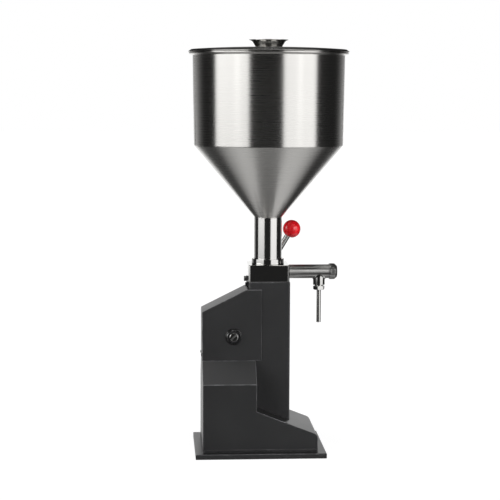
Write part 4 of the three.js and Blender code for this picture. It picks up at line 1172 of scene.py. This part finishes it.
class FILLER_OT_works(bpy.types.Operator):
    """Gives the pump, the crank and the valves inside their finishes"""

    bl_idname = "filler.works"
    bl_label = "Works inside"

    def execute(self, context):
        by_slot = {
            "machined_steel": "turned_steel", "dark_steel": "blackened_steel",
            "bronze": "bearing_bronze", "silicone": "pale_silicone", "seal_rubber": "black_seal",
            "polished_steel": "mirror_steel", "black_paint": "black_powder_coat",
            "brushed_steel": "brushed_sheet", "red_plastic": "ball_plastic",
        }
        for node in frame["nodes"].values():
            if node.hide_render:
                continue
            for slot in node.material_slots:
                slot.material = finishes()[by_slot[slot.material.name.split(".")[0]]]
        return {"FINISHED"}


class FILLER_OT_stage(bpy.types.Operator):
    """Floor, light and the camera"""

    bl_idname = "filler.stage"
    bl_label = "Stage"

    def execute(self, context):
        settings = context.scene.filler_studio
        context.scene.view_settings.view_transform = "Standard"
        self.camera(context)
        self.floor(settings)
        self.backdrop(settings)
        self.world(context, settings)
        for side, azimuth in (("left", -51), ("right", 43)):
            self.lamp(side, azimuth, settings.lamp_power)
        return {"FINISHED"}

    @staticmethod
    def camera(context):
        """A camera fitted to the photograph."""
        data = bpy.data.cameras.new("camera")
        data.sensor_width = 36
        data.lens = 106.65
        data.clip_end = 60
        camera = bpy.data.objects.new("camera", data)
        context.scene.collection.objects.link(camera)
        down, aside, roll = 6.23, -3.64, 0.21
        turn = Euler((math.radians(90 - down), 0, math.radians(aside))).to_matrix()
        turn @= Matrix.Rotation(math.radians(roll), 3, "Z")
        camera.matrix_world = Matrix.Translation((-0.20528, -2.70865, 0.6679)) @ turn.to_4x4()
        context.scene.camera = camera

    @staticmethod
    def floor(settings):
        """A pale floor: white to the camera but for a share of the shadow, not in reflections."""
        deselect()
        bpy.ops.mesh.primitive_plane_add(size=40, location=(0, 0, cad_box[0].z - 0.0002))
        floor = rename(bpy.context.object, "studio_floor")
        bpy.ops.object.transform_apply(location=True, rotation=True, scale=True)
        floor.visible_glossy = False
        material, graph = finish("studio_floor", "")
        ray = graph.add("ShaderNodeLightPath")
        grain = graph.noise(graph.place(), 40, 2)
        matt = graph.add("ShaderNodeBsdfDiffuse", {}, {
            "Color": graph.blend(grain, tint(settings.floor, 0.995), tint(settings.floor, 1.005)),
        })["BSDF"]
        white = graph.add(
            "ShaderNodeEmission", {}, {"Color": (1, 1, 1, 1), "Strength": 1.2}
        )["Emission"]
        shown = ray["Is Camera Ray"] * (1 - settings.floor_shade)
        mixed = graph.add("ShaderNodeMixShader", {}, {0: shown, 1: matt, 2: white})[0]
        graph.add("ShaderNodeOutputMaterial", {}, {"Surface": mixed})
        floor.data.materials.append(material)

    @staticmethod
    def backdrop(settings):
        """The low white sweep behind the object, as metal and glossy paint show it."""
        deselect()
        across, level, width, height = 0.05, 0.31, 1.3, 0.62
        bpy.ops.mesh.primitive_plane_add(size=1, location=(across, 1, level))
        sweep = rename(bpy.context.object, "studio_sweep")
        sweep.scale = (width, height, 1)
        sweep.rotation_euler = (math.radians(90), 0, 0)
        bpy.ops.object.transform_apply(location=True, rotation=True, scale=True)
        for kind in ("camera", "diffuse", "shadow"):
            setattr(sweep, "visible_" + kind, False)
        material, graph = finish("studio_sweep", "")
        centred = graph.place(centre=(across, 0, 0))
        where = graph.add("ShaderNodeSeparateXYZ", {}, {"Vector": centred})
        edge = graph.stretch(where["X"].absolute(), 0.4, width / 2)
        white = graph.add(
            "ShaderNodeEmission", {},
            {"Color": graph.blend(edge, (1, 1, 1), (0, 0, 0)), "Strength": settings.backdrop},
        )["Emission"]
        graph.add("ShaderNodeOutputMaterial", {}, {"Surface": white})
        sweep.data.materials.append(material)

    @staticmethod
    def world(context, settings):
        """White to the camera; to the object, light panels, a light above and a lit floor.

        Metal and gloss also show a glow behind the object, at the backdrop's brightness.

        Angles are in degrees: azimuth from the near side towards +X, and rise over the horizon.
        """
        world = bpy.data.worlds.new("studio")
        context.scene.world = world
        graph = Graph(world)
        ray = graph.add("ShaderNodeLightPath")
        way = graph.add("ShaderNodeTexCoord")["Generated"]
        split = graph.add("ShaderNodeSeparateXYZ", {}, {"Vector": way})
        degree = 180 / math.pi
        azimuth = split["X"].atan2(split["Y"] * -1) * degree
        rise = split["Z"].asin() * degree

        def between(value, low, high, soft):
            return graph.stretch(value, low - soft, low + soft) * (
                1 - graph.stretch(value, high - soft, high + soft)
            )

        away = azimuth.absolute()
        top = 1 - graph.stretch(rise, 22, 32)
        left = between(azimuth, -92, -33.7, 2) * graph.stretch(rise, -8.4, -7) * top
        left *= graph.stretch(rise, -14, 14, 0.2)
        right = between(azimuth, 18.5, 73, 2) * graph.stretch(rise, -35, -15) * top
        right *= graph.stretch(rise, -14, 14, 0.4)
        behind = graph.stretch(away, 112, 172) ** 1.4 * (
            between(rise, -16, 0, 6) + graph.stretch(rise, 6, -50) * 0.15
        )
        above = graph.stretch(rise, 66, 74) * graph.stretch(split["Y"] * -1, -0.06, 0.02)
        below = 1 - graph.stretch(rise, -75, -50)
        beside = between(away, 60, 114, 8) * between(rise, -80, -38, 9)
        before = (1 - graph.stretch(away, 50, 70)) * between(rise, -70, -50, 4)
        studio = (
            0.02 + left * settings.left_panel + right * settings.right_panel
            + above * settings.overhead + beside * settings.floor_glow
            + before * settings.floor_glow * 0.6 + below * 0.18
        )
        lit = studio * (1 + ray["Is Diffuse Ray"] * 2)
        camera = ray["Is Camera Ray"]
        shown = ray["Is Glossy Ray"] + ray["Is Transmission Ray"]
        strength = camera + (1 - camera) * lit + shown * behind * settings.backdrop
        back = graph.add("ShaderNodeBackground", {}, {"Color": (1, 1, 1, 1), "Strength": strength})
        graph.add("ShaderNodeOutputWorld", {}, {"Surface": back["Background"]})

    @staticmethod
    def lamp(side, azimuth, power):
        """A soft round lamp that points at the height of the lever's ball."""
        data = bpy.data.lights.new(side + "_lamp", "AREA")
        data.energy = power
        data.shape = "DISK"
        data.size = 0.34
        lamp = bpy.data.objects.new(side + "_lamp", data)
        bpy.context.scene.collection.objects.link(lamp)
        height, rise, distance = 0.42, math.radians(16), 2.2
        angle = math.radians(azimuth)
        away = Vector((math.sin(angle), -math.cos(angle), math.tan(rise))) * distance
        turn = away.to_track_quat("Z", "Y").to_matrix().to_4x4()
        lamp.matrix_world = Matrix.Translation(Vector((0, 0, height)) + away) @ turn
        lamp.visible_camera = False


class FILLER_PT_panel(bpy.types.Panel):
    """Lists the steps that build the dressed model, with their sizes"""

    bl_idname = "FILLER_PT_panel"
    bl_label = "Bottle filler"
    bl_space_type = "VIEW_3D"
    bl_region_type = "UI"
    bl_category = "Bottle filler"

    def draw(self, context):
        for step in steps:
            self.layout.operator(step.bl_idname)
        for group in settings_groups:
            box = self.layout.box()
            box.label(text=group)
            settings = getattr(context.scene, group)
            for name in settings.__annotations__:
                box.prop(settings, name)


settings_groups = {
    "filler_stand": FillerStandSizes,
    "filler_hopper": FillerHopperSizes,
    "filler_outlet": FillerOutletSizes,
    "filler_finishes": FillerFinishes,
    "filler_studio": FillerStudio,
}

steps = [
    FILLER_OT_stand, FILLER_OT_bosses, FILLER_OT_sheet_screws, FILLER_OT_clamp, FILLER_OT_block,
    FILLER_OT_outlet, FILLER_OT_end_cap, FILLER_OT_nozzle, FILLER_OT_hopper, FILLER_OT_lid,
    FILLER_OT_lever, FILLER_OT_works, FILLER_OT_stage,
]


def register():
    for cls in (*settings_groups.values(), *steps, FILLER_PT_panel):
        bpy.utils.register_class(cls)
    for name, group in settings_groups.items():
        setattr(bpy.types.Scene, name, PointerProperty(type=group))


def unregister():
    for name in settings_groups:
        delattr(bpy.types.Scene, name)
    for cls in (FILLER_PT_panel, *reversed(steps), *settings_groups.values()):
        bpy.utils.unregister_class(cls)


def main():
    register()
    for step in steps:
        group, name = step.bl_idname.split(".")
        getattr(getattr(bpy.ops, group), name)()


if __name__ == "__main__":
    main()
